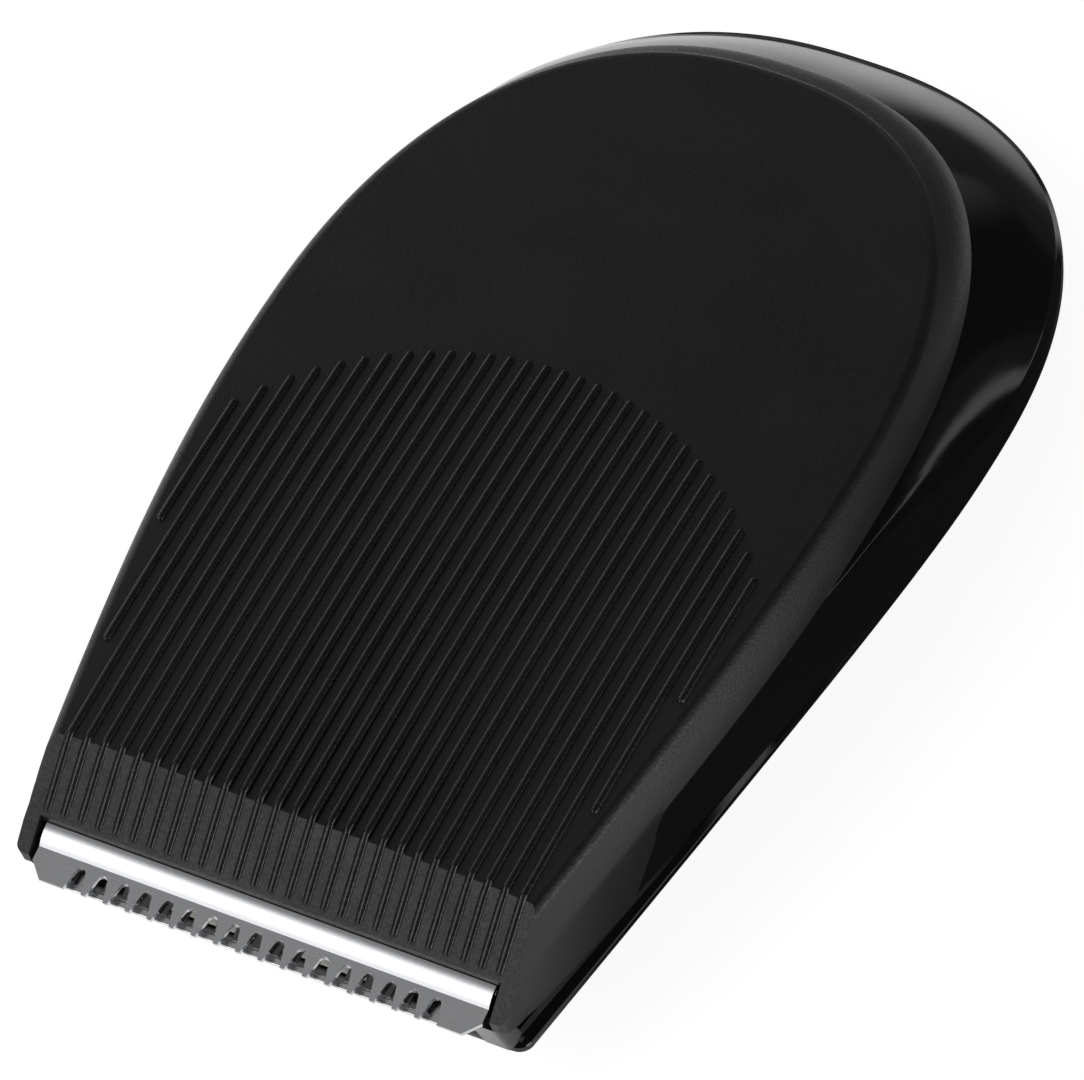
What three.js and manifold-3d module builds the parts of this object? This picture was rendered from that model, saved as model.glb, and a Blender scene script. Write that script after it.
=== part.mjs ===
// A click-on precision trimmer head for a rotary shaver: a narrow toothed blade on a flat, drop-shaped body.
// Millimetres. X runs across the head, -Y points to the teeth, +Z is up.
// The body is modelled with the drive axis at X = Y = 0 and the rim of the base at Z = 0; the last lines
// move the whole head so that its origin is the middle of its bounding box, on the plane that it stands on.
import * as THREE from "three";
import { mergeVertices } from "three/addons/utils/BufferGeometryUtils.js";
import Module from "manifold-3d";

const wasm = await Module();
wasm.setup();

// ---- driving dimensions ----------------------------------------------------------------------------------

const seatGap = 0.1; // between two fixed pieces that sit on each other
const slideGap = 0.06; // between two blades that slide on each other
const runGap = 0.3; // round a piece that turns or swings
const partingGap = 0.25; // the visible joint between cover and base

// The crown of the cover is a shallow dome, longer than it is wide.
const crownHeight = 12.26;
const crownAt = -10.6;
const crownRadiusAlong = 347;
const crownRadiusAcross = 699;

// Plan outlines: a nose with parallel sides that swells to the widest place, then a full, squarish tail.
const coverEdge = {
  halfWidth: 24.8,
  widestAt: -12,
  noseAt: -54.1,
  tailAt: 26.2,
  noseSlope: 0.24,
  noseBlend: 25,
  noseParallelAt: -50.9,
  noseCorner: 0.5,
  tailPower: 2.45,
};
const crownInset = 1.1; // at the sides, from the cover's lower edge in to the crown's edge
const coverTop = {
  halfWidth: coverEdge.halfWidth - crownInset,
  widestAt: -10,
  noseAt: -53.9,
  tailAt: 23.3,
  noseSlope: 0.2,
  noseBlend: 25,
  noseParallelAt: -49.5,
  noseCorner: 0.5,
  tailPower: 2.35,
};
const baseRim = {
  halfWidth: 26,
  widestAt: 4,
  noseAt: -52.8,
  tailAt: 33.1,
  noseSlope: 0.135,
  noseBlend: 12,
  noseParallelAt: -52.8,
  noseCorner: 1.1,
  tailPower: 2.42,
};
const noseSteps = 12;
const tailSteps = 18;
const cornerSteps = 3;

// Top cover
const coverWall = 1.3;
const coverEdgeDrop = 3.2; // from the crown's edge down to the lower edge of the side wall
const coverEdgeRound = 0.6;
const bevelStart = -46.6; // where the crown breaks into the sloping nose
const bevelAngle = THREE.MathUtils.degToRad(36);
const skirtBottom = 2;
const skirtTuck = 0.35; // how far the skirt draws in towards its lower edge
const skirtFootAt = -39.8; // rear corner of the skirt beside the blade
const skirtLean = 3.5; // how far the skirt's rear edge leans back on its way up
const skirtCornerRadius = 2.2;
const lipThickness = 0.5; // of the cover's front lip over the blade
// The lugs beside the blade stand on the base's nose; the skirt's lower edge sweeps up to their feet.
const lugSweepFrom = -49.5;
const lugFootRise = 2.1;

// Finger ribs on the cover
const ribPitch = 1.4;
const ribCount = 31;
const ribWidth = 0.46;
const ribHeight = 0.26;
const ribEndRound = 0.22;
const ribArcTop = -7.3; // where the middle rib ends
const ribArcRadius = 26;
const ribFrontMargin = 0.2; // bare strip between the ribs and the cover's front lip
const ribSideMargin = 1.4; // bare strip between a rib's front end and the crown's side edge

// Base
const baseFloor = 1.6;
const baseWallInset = 3; // from the outline to the inside of the wall
const rimLedge = 0.75; // width of the sloping band along the rim, at the nose
const rimEdge = 0.6; // upright edge of the rim, below that band
const rimLedgeHeight = 1;
const rimLedgeFadesAt = -14;
const baseShoulderInset = 0.5; // the base's wall stands this far inside the cover's edge
const shoulderWall = 1.8; // width of the wall's top at the tail
// The crease between the upright lower wall and the sloping upper wall sinks towards the tail.
const creaseFrom = -13;
const creaseTo = 10;
const creaseFrontHeight = 7.3;
const creaseTailHeight = 2.2;
const creaseDropFrom = 17; // from here the crease runs down to the rim at the end of the tail
const creaseEndHeight = 0.4;
const creaseDraft = 0.05; // share of the way in to the shoulder that the lower wall leans
const noseLipHeight = 1.5;
const noseLipLength = 1.4;
const nosePostRear = -51.6;
const nosePostInset = 0.4; // from the mouth's side to the post
const noseMouthHalfWidth = 16.2;
const noseSill = 0.8; // low wall under the blade, behind the nose lip
const noseSillTop = 2.7;

// Coupling to the shaver
const collarDepth = 5; // below the rim
const collarInnerRadius = 10.6;
const collarWall = 2.4;
const collarFlangeRadius = 16.4;
const collarFlange = 1.35;
const collarSlots = 3;
const collarSlotWidth = 3.2;
const collarSlotDepth = 2.2;
const collarGrooveDepth = 0.5;
const collarGrooveHeight = 1;
const collarScrewRadiusAt = 14.8;
const seatDiscThickness = 1.65;
const seatDiscMargin = 1.8;

// Drive train
const crankThrow = 0.65;
const shaftRadius = 1.5;
const crankRadius = 3.6;
const crankThickness = 1.2;
const crankPinRadius = 0.8;
const bushWall = 1.05;
const bushFlange = 0.4;
const bushFlangeRadius = 3.5;
const washerThickness = 0.18;
const washerRadius = 3.2;
const couplerRadius = 4.2;
const couplerDrop = 1; // the coupler ends this far above the collar's mouth
const socketRadius = 2.5;
const socketDepth = 2.4;
const sealRadius = 3.1;
const sealThickness = 1.3;

// Lever between the crank and the cutter
const pivotAt = -20;
const pivotPinRadius = 1.2;
const leverThickness = 1.6;
const leverHubRadius = 3.6;
const leverArmWidth = 4.4;
const forkArmWidth = 1.7;
const forkReach = 3.2; // past the drive axis
const leverStepStart = -38.5;
const leverStepEnd = -45;
const fingerTip = -51.2;
const fingerWidth = 2;
const fingerNeck = 1.5;
const fingerThickness = 1.1;
const clipThickness = 0.4;
const clipRadius = 2.3;

// Drive frame
const frameDeck = 1.2;
const frameHalfWidth = 11.5;
const frameRear = 18.5;
const frameFront = -36;
const frameStandOff = 1.8; // deck above the base's floor
const frameRailWidth = 2;
const seatBlockRear = -43.6;
const seatBlockFront = -50.8;
const seatBlockInner = 12.6;
const seatBlockOuter = 15.9;
const seatBlockFoot = 1.8;
const crossBar = 1.2;
const postRadius = 3;
const bossRadius = 2.4;
const frameScrewX = 9;
const frameScrewFront = -31;
const frameScrewRear = 15.8;
const coverScrewX = 17;
const coverScrewAt = -17;
const tailScrewAt = 21;
const coverBossRadius = 2;

// Fasteners
const screwRadius = 0.8;
const screwHeadRadius = 1.5;
const screwHead = 0.8;
const crossWidth = 0.45;
const holeGap = 0.12; // round a screw's shank or a pin

// Blade
const toothTipAt = -55.4;
const toothTipHeight = 4.62;
const bladeTilt = THREE.MathUtils.degToRad(14.8);
const faceLength = 2.28;
const rollRadius = 0.8; // of the rolled bar behind the teeth
const combSheet = 0.3;
const combHalfWidth = 18.1;
const combRear = -45;
const combCornerCut = 1.15;
const slotPitch = 1.79;
const slotCount = 17;
const slotRootWidth = 0.8;
const slotMouthWidth = 1.38;
const slotLength = 1.75;
const notchHalfWidth = 18.55;
const noseLipAt = -51.7; // front edge of the cover over the blade
const bladeScrewX = 14.4;
const bladeScrewAt = -47.4;

const cutterSheet = 0.35;
const cutterSetBack = 0.8;
const cutterToothPitch = 1.5;
const cutterTeeth = 21;
const cutterGapWidth = 0.75;
const cutterToothLength = 1.5;
const cutterRear = 4.2;
const stakeRadius = 0.55;
const stakeX = 7;
const stakeAt = 3.3;

const stripSheet = 0.3;
const stripFront = 0.28;
const stripWidth = 0.5;
const stripHalfWidth = 15.8;
const stripArmWidth = 2.6;
const stripBend = 3.2;
const stripRear = -45.6;

const carrierHalfWidth = 11;
const carrierFrontAt = 2.1; // up the blade's slope from the tooth tips
const carrierRear = -46.4;
const carrierBottom = 3;
const springSheet = 0.2;
const springWidth = 2.4;
const springHalfSpan = 9.4;
const springAt = -49.6;

// ---- materials -------------------------------------------------------------------------------------------

const finish = (name, color, roughness, metalness) =>
  Object.assign(new THREE.MeshStandardMaterial({ color, roughness, metalness }), { name });
const matteBlack = finish("matte_black", 0x1d1d1e, 0.62, 0);
const glossBlack = finish("gloss_black", 0x0b0b0c, 0.12, 0);
const greyPlastic = finish("grey_plastic", 0x8d9194, 0.5, 0);
const whiteAcetal = finish("white_acetal", 0xe6e4dc, 0.4, 0);
const bladeSteel = finish("blade_steel", 0xb9bcc0, 0.28, 1);
const springSteel = finish("spring_steel", 0x9a9da3, 0.3, 1);
const bronze = finish("bronze", 0x9c7440, 0.4, 1);
const sealRubber = finish("seal_rubber", 0x161616, 0.85, 0);

// ---- solids ----------------------------------------------------------------------------------------------

// A closed geometry as a manifold-3d solid, with its faces turned outwards.
function solid(geometry) {
  const bare = geometry.clone();
  bare.deleteAttribute("normal");
  bare.deleteAttribute("uv");
  const merged = mergeVertices(bare, 1e-4);
  const triVerts = new Uint32Array(merged.index.array);
  const vertProperties = new Float32Array(merged.attributes.position.array);
  const made = new wasm.Manifold(new wasm.Mesh({ numProp: 3, vertProperties, triVerts }));
  if (made.volume() > 0) return made;
  return new wasm.Manifold(new wasm.Mesh({ numProp: 3, vertProperties, triVerts: triVerts.reverse() }));
}

function geometryOf(manifold) {
  const mesh = manifold.getMesh();
  return new THREE.BufferGeometry()
    .setAttribute("position", new THREE.BufferAttribute(new Float32Array(mesh.vertProperties), 3))
    .setIndex(new THREE.BufferAttribute(new Uint32Array(mesh.triVerts), 1));
}

const join = (...solids) => solids.reduce((all, one) => all.add(one));
const cut = (from, ...tools) => tools.reduce((rest, tool) => rest.subtract(tool), from);
const bothSides = (make) => [1, -1].map(make);

const box = (x0, x1, y0, y1, z0, z1) =>
  solid(
    new THREE.BoxGeometry(x1 - x0, y1 - y0, z1 - z0).translate((x0 + x1) / 2, (y0 + y1) / 2, (z0 + z1) / 2),
  );

const disc = (radius, z0, z1, x = 0, y = 0, sides = 28) =>
  solid(
    new THREE.CylinderGeometry(radius, radius, z1 - z0, sides).rotateX(Math.PI / 2).translate(x, y, (z0 + z1) / 2),
  );

const tube = (outer, inner, z0, z1, x = 0, y = 0, sides = 28) =>
  cut(disc(outer, z0, z1, x, y, sides), disc(inner, z0 - 1, z1 + 1, x, y, sides));

// A plan shape (x, y) raised from z0 to z1.
const plan = (shape, z0, z1, curveSegments = 6) =>
  solid(
    new THREE.ExtrudeGeometry(shape, { depth: z1 - z0, bevelEnabled: false, curveSegments }).translate(0, 0, z0),
  );

// A side view (y, z) carried across from x0 to x1.
function sideView(shape, x0, x1, curveSegments = 6) {
  const across = new THREE.Matrix4().makeBasis(
    new THREE.Vector3(0, 1, 0), new THREE.Vector3(0, 0, 1), new THREE.Vector3(1, 0, 0),
  );
  const geometry = new THREE.ExtrudeGeometry(shape, { depth: x1 - x0, bevelEnabled: false, curveSegments });
  return solid(geometry.applyMatrix4(across).translate(x0, 0, 0));
}

// A front view (x, z) carried back from y0 to y1.
function frontView(shape, y0, y1, curveSegments = 6) {
  const geometry = new THREE.ExtrudeGeometry(shape, { depth: y1 - y0, bevelEnabled: false, curveSegments });
  return solid(geometry.rotateX(Math.PI / 2).translate(0, y1, 0));
}

const polygon = (...corners) => new THREE.Shape(corners.map(([a, b]) => new THREE.Vector2(a, b)));

// ---- outlines and lofts ----------------------------------------------------------------------------------

const crown = (x, y) =>
  crownHeight - x ** 2 / (2 * crownRadiusAcross) - (y - crownAt) ** 2 / (2 * crownRadiusAlong);

function noseHalfWidth(outline, y, inset) {
  const ahead = outline.widestAt - Math.max(y, outline.noseParallelAt);
  return outline.halfWidth - inset - outline.noseSlope * (Math.hypot(ahead, outline.noseBlend) - outline.noseBlend);
}

// One closed ring of plan points round an outline, moved inwards by inset.
function ring(outline, inset = 0) {
  const half = [];
  const noseAt = outline.noseAt + inset;
  const round = outline.noseCorner;
  for (let i = 0; i < cornerSteps; i++) {
    const turn = (i / cornerSteps) * (Math.PI / 2);
    const side = noseHalfWidth(outline, noseAt + round, inset);
    half.push([side - round + round * Math.sin(turn), noseAt + round - round * Math.cos(turn)]);
  }
  for (let i = 0; i < noseSteps; i++) {
    const y = noseAt + round + (i / noseSteps) * (outline.widestAt - noseAt - round);
    half.push([noseHalfWidth(outline, y, inset), y]);
  }
  const tail = outline.tailAt - inset - outline.widestAt;
  for (let i = 0; i < tailSteps; i++) {
    const turn = (i / tailSteps) * (Math.PI / 2);
    const bulge = 2 / outline.tailPower;
    half.push([
      (outline.halfWidth - inset) * Math.cos(turn) ** bulge,
      outline.widestAt + tail * Math.sin(turn) ** bulge,
    ]);
  }
  const mirrored = half.map(([x, y]) => [-x, y]).reverse();
  return [...half, [0, outline.widestAt + tail], ...mirrored].map(([x, y]) => new THREE.Vector2(x, y));
}

// The same ring drawn in towards the middle of the outline, by a share of its size.
const drawnIn = (points, share, middle) =>
  points.map((p) => new THREE.Vector2(p.x * share, middle + (p.y - middle) * share));

// A closed loft through rings of equal length, from the lowest up; each level is { points, height(x, y) }.
function loft(levels) {
  const count = levels[0].points.length;
  const rows = levels.length + 2;
  const stations = Array.from({ length: rows }, (_, row) =>
    new THREE.Vector2(row === 0 || row === rows - 1 ? 0 : 1, row));
  const geometry = new THREE.LatheGeometry(stations, count);
  const place = geometry.attributes.position;
  const middleOf = ({ points }) => points.reduce((sum, p) => sum.add(p), new THREE.Vector2()).divideScalar(count);
  for (let turn = 0; turn <= count; turn++) {
    for (let row = 0; row < rows; row++) {
      const level = levels[Math.min(Math.max(row - 1, 0), levels.length - 1)];
      const inRing = row > 0 && row < rows - 1;
      const point = inRing ? level.points[turn % count] : middleOf(level);
      place.setXYZ(turn * rows + row, point.x, point.y, level.height(point.x, point.y));
    }
  }
  return solid(geometry);
}

const at = (z) => () => z;
const lowered = (drop) => (x, y) => crown(x, y) - drop;

// ---- top cover -------------------------------------------------------------------------------------------

const bevelSlope = Math.tan(bevelAngle);
const bevelHeight = crown(0, bevelStart);
const bevelAtY = (y) => bevelHeight - (bevelStart - y) * bevelSlope;

// The cover's filled form, with every face moved inwards by inset, standing on bottom.
function coverForm(inset, bottom) {
  const top = ring(coverTop, inset);
  const inner = ring(coverTop, inset + coverEdgeRound);
  const edge = ring(coverEdge, inset);
  const middle = (coverTop.noseAt + coverTop.tailAt) / 2;
  const form = loft([
    { points: ring(coverEdge, inset + skirtTuck), height: at(bottom) },
    { points: edge, height: lowered(coverEdgeDrop + inset) },
    { points: top, height: lowered(coverEdgeRound / 2 + inset) },
    { points: inner, height: lowered(inset) },
    ...[0.72, 0.45, 0.2].map((share) => ({ points: drawnIn(inner, share, middle), height: lowered(inset) })),
  ]);
  const drop = inset / Math.cos(bevelAngle);
  const far = coverEdge.noseAt - 10;
  const slopeTop = bevelStart + 10;
  const wedge = polygon(
    [slopeTop, bevelAtY(slopeTop) - drop], [slopeTop, crownHeight + 20], [far, crownHeight + 20],
    [far, bevelAtY(far) - drop],
  );
  return cut(form, sideView(wedge, -coverEdge.halfWidth - 5, coverEdge.halfWidth + 5));
}

// Side view of what is cut away under the cover's wall, behind the skirt; grow widens the cut.
function underCut(grow) {
  const footAt = skirtFootAt - grow;
  const kneeAt = footAt + skirtLean;
  const edgeAt = (y) => crown(coverEdge.halfWidth, y) - coverEdgeDrop + grow;
  const kneeTop = edgeAt(kneeAt + skirtCornerRadius);
  const footHeight = skirtBottom - 5;
  const leanTop = kneeTop - skirtCornerRadius;
  const shape = new THREE.Shape();
  shape.moveTo(footAt, footHeight);
  shape.lineTo(footAt, skirtBottom);
  shape.lineTo(kneeAt - skirtCornerRadius * 0.25, leanTop);
  shape.quadraticCurveTo(kneeAt, kneeTop, kneeAt + skirtCornerRadius, edgeAt(kneeAt + skirtCornerRadius));
  const tailEnd = baseRim.tailAt + 5;
  const steps = 14;
  for (let i = 1; i <= steps; i++) {
    const y = kneeAt + skirtCornerRadius + (i / steps) * (tailEnd - kneeAt - skirtCornerRadius);
    shape.lineTo(y, edgeAt(y));
  }
  shape.lineTo(tailEnd, footHeight);
  return sideView(shape, -baseRim.halfWidth - 5, baseRim.halfWidth + 5);
}

// The ribs that the crown has room for. One that reaches the sloping nose runs on to the front lip.
function ribPlaces() {
  const places = [];
  for (let i = 0; i < ribCount; i++) {
    const x = (i - (ribCount - 1) / 2) * ribPitch;
    const room = coverTop.halfWidth - ribSideMargin - Math.abs(x);
    if (room <= 0 || Math.abs(x) >= ribArcRadius) continue;
    const narrowing = coverTop.noseBlend + room / coverTop.noseSlope;
    const beside = coverTop.widestAt - Math.sqrt(narrowing ** 2 - coverTop.noseBlend ** 2);
    const front = beside < bevelStart ? noseLipAt + ribFrontMargin : beside;
    const rear = ribArcTop - (ribArcRadius - Math.sqrt(ribArcRadius ** 2 - x ** 2));
    if (rear - front > ribPitch) places.push({ x, front, rear });
  }
  return places;
}

function ribSolid({ x, front, rear }) {
  const surface = (y) => Math.min(crown(x, y), bevelAtY(y));
  const root = coverWall / 2;
  const outline = [];
  const addPoint = (y, height) => outline.push([y, surface(y) + height]);
  addPoint(front, -root);
  addPoint(front, 0);
  addPoint(front + ribEndRound, ribHeight);
  const steps = 6;
  for (let i = 1; i < steps; i++) addPoint(front + (i / steps) * (rear - front), ribHeight);
  if (front < bevelStart) outline.push([bevelStart, surface(bevelStart) + ribHeight]);
  addPoint(rear - ribEndRound, ribHeight);
  addPoint(rear, 0);
  addPoint(rear, -root);
  const top = outline.slice(2, -2).sort((a, b) => a[0] - b[0]);
  const under = top.slice(1, -1).reverse().map(([y, z]) => [y, z - ribHeight - root]);
  const corners = [...outline.slice(0, 2), ...top, ...outline.slice(-2), ...under];
  return sideView(polygon(...corners), x - ribWidth / 2, x + ribWidth / 2);
}

function lugFootHeight(y) {
  const share = (lugSweepFrom - y) / (lugSweepFrom - coverEdge.noseAt);
  return skirtBottom + lugFootRise * share ** 2;
}

// Side view of the room under the lugs and under the sweep behind them.
function lugRoom() {
  const sweep = Array.from({ length: 9 }, (_, i) => THREE.MathUtils.lerp(lugSweepFrom, coverEdge.noseAt, i / 8));
  const far = coverEdge.noseAt - 5;
  const corners = [[lugSweepFrom, 0], ...sweep.map((y) => [y, lugFootHeight(y)])];
  corners.push([far, lugFootHeight(coverEdge.noseAt)], [far, 0]);
  return sideView(polygon(...corners), -baseRim.halfWidth, baseRim.halfWidth);
}

function topCover() {
  const shell = cut(coverForm(0, skirtBottom), coverForm(coverWall, skirtBottom - 5));
  const lipUnder = bevelAtY(noseLipAt) - lipThickness;
  const notch = box(-notchHalfWidth, notchHalfWidth, coverEdge.noseAt - 5, noseLipAt, 0, crownHeight);
  const relief = box(-notchHalfWidth, notchHalfWidth, coverEdge.noseAt - 5, bladeScrewAt + 3, 0, lipUnder);
  const foot = floorTop + seatGap;
  const bosses = coverScrewPlaces.map(([x, y]) => cut(
    disc(coverBossRadius, foot, crown(x, y) - coverWall / 2, x, y),
    disc(screwRadius + holeGap / 2, foot - 1, foot + screwLength, x, y, 12),
  ));
  return join(cut(shell, underCut(0), notch, relief, lugRoom()), ...bosses, ...ribPlaces().map(ribSolid));
}

// ---- base ------------------------------------------------------------------------------------------------

const screwLength = 4;
const coverScrewPlaces = [[coverScrewX, coverScrewAt], [-coverScrewX, coverScrewAt], [0, tailScrewAt]];
const floorTop = baseFloor;
const seatDiscTop = collarFlange + seatGap + seatDiscThickness;
const deckUnder = baseFloor + frameStandOff;
const deckTop = deckUnder + frameDeck;

function rimBand(share) {
  const nose = baseRim.noseAt;
  return ring(baseRim).map((p) => {
    const fade = THREE.MathUtils.clamp((rimLedgeFadesAt - p.y) / (rimLedgeFadesAt - nose), 0, 1);
    return new THREE.Vector2(p.x - Math.sign(p.x) * share * rimLedge * fade, p.y + share * 0.3 * fade);
  });
}

// Two rings of equal length mixed point by point.
const blend = (from, to, shareOf) => from.map((p, i) => p.clone().lerp(to[i], shareOf(p)));

const shoulder = (x, y) => crown(x, y) - coverEdgeDrop - partingGap;
const creaseFade = (y) => THREE.MathUtils.smoothstep(y, creaseFrom, creaseTo);
function creaseHeight(y) {
  const side = THREE.MathUtils.lerp(creaseFrontHeight, creaseTailHeight, creaseFade(y));
  return THREE.MathUtils.lerp(side, creaseEndHeight, THREE.MathUtils.smoothstep(y, creaseDropFrom, baseRim.tailAt));
}

function creaseShare(p) {
  const straight = creaseHeight(p.y) / shoulder(p.x, p.y);
  return THREE.MathUtils.lerp(straight, creaseDraft, THREE.MathUtils.smoothstep(p.y, creaseFrom - 4, creaseFrom + 4));
}

// The two posts of the base's nose that the cover's lugs stand on, leaning forward beside the mouth.
function nosePosts() {
  const lean = coverEdge.noseAt + seatGap - baseRim.noseAt;
  const top = lugFootHeight(coverEdge.noseAt);
  const inner = noseMouthHalfWidth + nosePostInset;
  const outer = noseHalfWidth(baseRim, baseRim.noseAt, 0) - nosePostInset;
  const corner = baseRim.noseCorner;
  const front = baseRim.noseAt;
  const plan = [
    [inner, nosePostRear], [inner, front], [outer - corner, front],
    [outer - corner * 0.3, front + corner * 0.3], [outer, front + corner], [outer, nosePostRear],
  ];
  const sweep = Array.from({ length: 5 }, (_, i) => THREE.MathUtils.lerp(coverEdge.noseAt, lugSweepFrom, i / 4));
  const above = sweep.map((y) => [y, lugFootHeight(y) - seatGap]);
  above.push([lugSweepFrom, crownHeight], [coverEdge.noseAt, crownHeight]);
  return bothSides((side) => {
    const planAt = (shift) => plan.map(([x, y]) => new THREE.Vector2(side * x, y + shift));
    const post = loft([{ points: planAt(0), height: at(0) }, { points: planAt(lean), height: at(top) }]);
    return cut(post, sideView(polygon(...above), -baseRim.halfWidth, baseRim.halfWidth));
  });
}

function baseShell() {
  const shoulderRing = ring(coverEdge, baseShoulderInset);
  const middle = (baseRim.noseAt + baseRim.tailAt) / 2;
  const body = loft([
    { points: ring(baseRim), height: at(0) },
    { points: ring(baseRim), height: (x, y) => Math.min(rimEdge, creaseHeight(y) / 3) },
    { points: rimBand(1), height: (x, y) => Math.min(rimLedgeHeight, (creaseHeight(y) * 2) / 3) },
    { points: blend(rimBand(1), shoulderRing, creaseShare), height: (x, y) => creaseHeight(y) },
    { points: shoulderRing, height: shoulder },
    ...[0.72, 0.45, 0.2].map((share) => ({ points: drawnIn(shoulderRing, share, middle), height: shoulder })),
  ]);
  const innerRim = ring(baseRim, baseWallInset);
  const innerShoulder = blend(
    ring(coverEdge, baseWallInset), ring(coverEdge, baseShoulderInset + shoulderWall), (p) => creaseFade(p.y),
  );
  const cavity = loft([
    { points: innerRim, height: at(floorTop) },
    {
      points: blend(innerRim, innerShoulder, creaseShare),
      height: (x, y) => Math.max(floorTop + 0.2, creaseHeight(y) - 0.8),
    },
    { points: innerShoulder, height: shoulder },
    { points: innerShoulder, height: (x, y) => crown(x, y) + 1 },
  ]);
  const skirtRoom = cut(
    coverForm(-partingGap, skirtBottom - partingGap),
    coverForm(coverWall + partingGap, skirtBottom - 5),
    underCut(-partingGap),
  );
  const far = baseRim.noseAt - 5;
  const wide = baseRim.halfWidth + 5;
  const overBlade = box(-wide, wide, far, seatBlockRear - 1, toothTipHeight + 0.3, crownHeight);
  const mouth = noseMouthHalfWidth;
  const noseMouth = box(-mouth, mouth, far, seatBlockRear, floorTop, crownHeight);
  const sillAt = baseRim.noseAt + noseLipLength;
  const sill = box(-mouth - 0.5, mouth + 0.5, sillAt - noseSill, sillAt, floorTop - 0.5, noseSillTop);
  const noseFront = box(-wide, wide, far, baseRim.noseAt + noseLipLength, noseLipHeight, crownHeight);
  const collarRoom = disc(collarFlangeRadius + seatGap * 2, -1, collarFlange + seatGap, 0, 0, 48);
  const sealHole = disc(sealRadius + seatGap, -1, seatDiscTop + 1);
  const collarHoles = aroundCollar((x, y) => disc(screwRadius + holeGap / 2, 0, seatDiscTop + 1, x, y, 12));
  const coverHoles = coverScrewPlaces.map(([x, y]) => join(
    disc(screwRadius + holeGap, -1, floorTop + 2, x, y, 12),
    disc(screwHeadRadius + holeGap * 2, -1, screwHead + seatGap, x, y),
  ));
  const walls = cut(body, cavity, skirtRoom, overBlade, noseMouth, noseFront);
  const seatDisc = disc(collarFlangeRadius + seatDiscMargin, 0.2, seatDiscTop, 0, 0, 48);
  const frameBosses = frameScrewPlaces.map(([x, y]) => disc(bossRadius, floorTop - 0.5, deckUnder - seatGap, x, y));
  const frameHoles = frameScrewPlaces.map(([x, y]) =>
    disc(screwRadius + holeGap / 2, floorTop, deckUnder + 1, x, y, 12));
  return cut(
    join(cut(walls, disc(collarFlangeRadius, -1, seatDiscTop, 0, 0, 48)), seatDisc, sill, ...nosePosts(), ...frameBosses),
    collarRoom, sealHole, ...collarHoles, ...coverHoles, ...frameHoles,
  );
}

// ---- coupling --------------------------------------------------------------------------------------------

function aroundCollar(make) {
  return Array.from({ length: collarSlots }, (_, i) => {
    const turn = (i / collarSlots) * 2 * Math.PI + Math.PI / 2;
    return make(collarScrewRadiusAt * Math.cos(turn), collarScrewRadiusAt * Math.sin(turn), turn);
  });
}

function couplingCollar() {
  const outer = collarInnerRadius + collarWall;
  const mouth = -collarDepth;
  const groove = mouth + collarSlotDepth + 0.6;
  const profile = [
    [collarInnerRadius + 0.4, mouth], [outer - 0.4, mouth], [outer, mouth + 0.4], [outer, 0],
    [collarFlangeRadius, 0], [collarFlangeRadius, collarFlange], [collarInnerRadius, collarFlange],
    [collarInnerRadius, groove + collarGrooveHeight], [collarInnerRadius + collarGrooveDepth, groove + collarGrooveHeight],
    [collarInnerRadius + collarGrooveDepth, groove], [collarInnerRadius, groove],
    [collarInnerRadius, mouth + 0.4], [collarInnerRadius + 0.4, mouth],
  ].map(([r, z]) => new THREE.Vector2(r, z));
  const body = solid(new THREE.LatheGeometry(profile, 48).rotateX(Math.PI / 2));
  const slots = aroundCollar((x, y, turn) => {
    const slot = new THREE.BoxGeometry(collarWall * 3, collarSlotWidth, collarSlotDepth * 2);
    slot.rotateZ(turn + Math.PI / collarSlots);
    const reach = collarInnerRadius + collarWall / 2;
    const side = turn + Math.PI / collarSlots;
    return solid(slot.translate(reach * Math.cos(side), reach * Math.sin(side), mouth));
  });
  const holes = aroundCollar((x, y) => join(
    disc(screwRadius + holeGap, -1, collarFlange + 1, x, y, 12),
    disc(screwHeadRadius + holeGap, -1, screwHead, x, y, 20),
  ));
  return cut(body, ...slots, ...holes);
}

// A pan-head screw with a cross recess, head down from z = 0 and shank up, or the other way round.
function screw(length, headDown) {
  const head = disc(screwHeadRadius, 0, screwHead, 0, 0, 20);
  const shank = disc(screwRadius, screwHead - 0.1, screwHead + length, 0, 0, 12);
  const blade = box(-screwHeadRadius * 0.6, screwHeadRadius * 0.6, -crossWidth / 2, crossWidth / 2, -1, screwHead / 2);
  const cross = join(blade, box(-crossWidth / 2, crossWidth / 2, -screwHeadRadius * 0.6, screwHeadRadius * 0.6, -1,
    screwHead / 2));
  const geometry = geometryOf(cut(join(head, shank), cross));
  return headDown ? geometry : geometry.rotateX(Math.PI);
}

// ---- drive -----------------------------------------------------------------------------------------------

const bushTop = deckTop + seatGap / 2 + bushFlange;
const crankUnder = bushTop + washerThickness + 2 * slideGap;
const crankTop = crankUnder + crankThickness;
const leverUnder = crankTop + runGap;
const leverTop = leverUnder + leverThickness;
const couplerFoot = -collarDepth + couplerDrop;
const couplerTop = collarFlange + seatGap - runGap;
const sealUnder = collarFlange + seatGap + (seatDiscThickness - sealThickness) / 2;
const shaftFoot = couplerFoot + socketDepth + 0.3;

const spindle = () => join(
  disc(shaftRadius, shaftFoot, crankUnder + 0.2, 0, 0, 24),
  disc(crankRadius, crankUnder, crankTop, 0, 0, 36),
  disc(crankPinRadius, crankTop - 0.2, leverTop + runGap, 0, crankThrow, 20),
);

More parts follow.
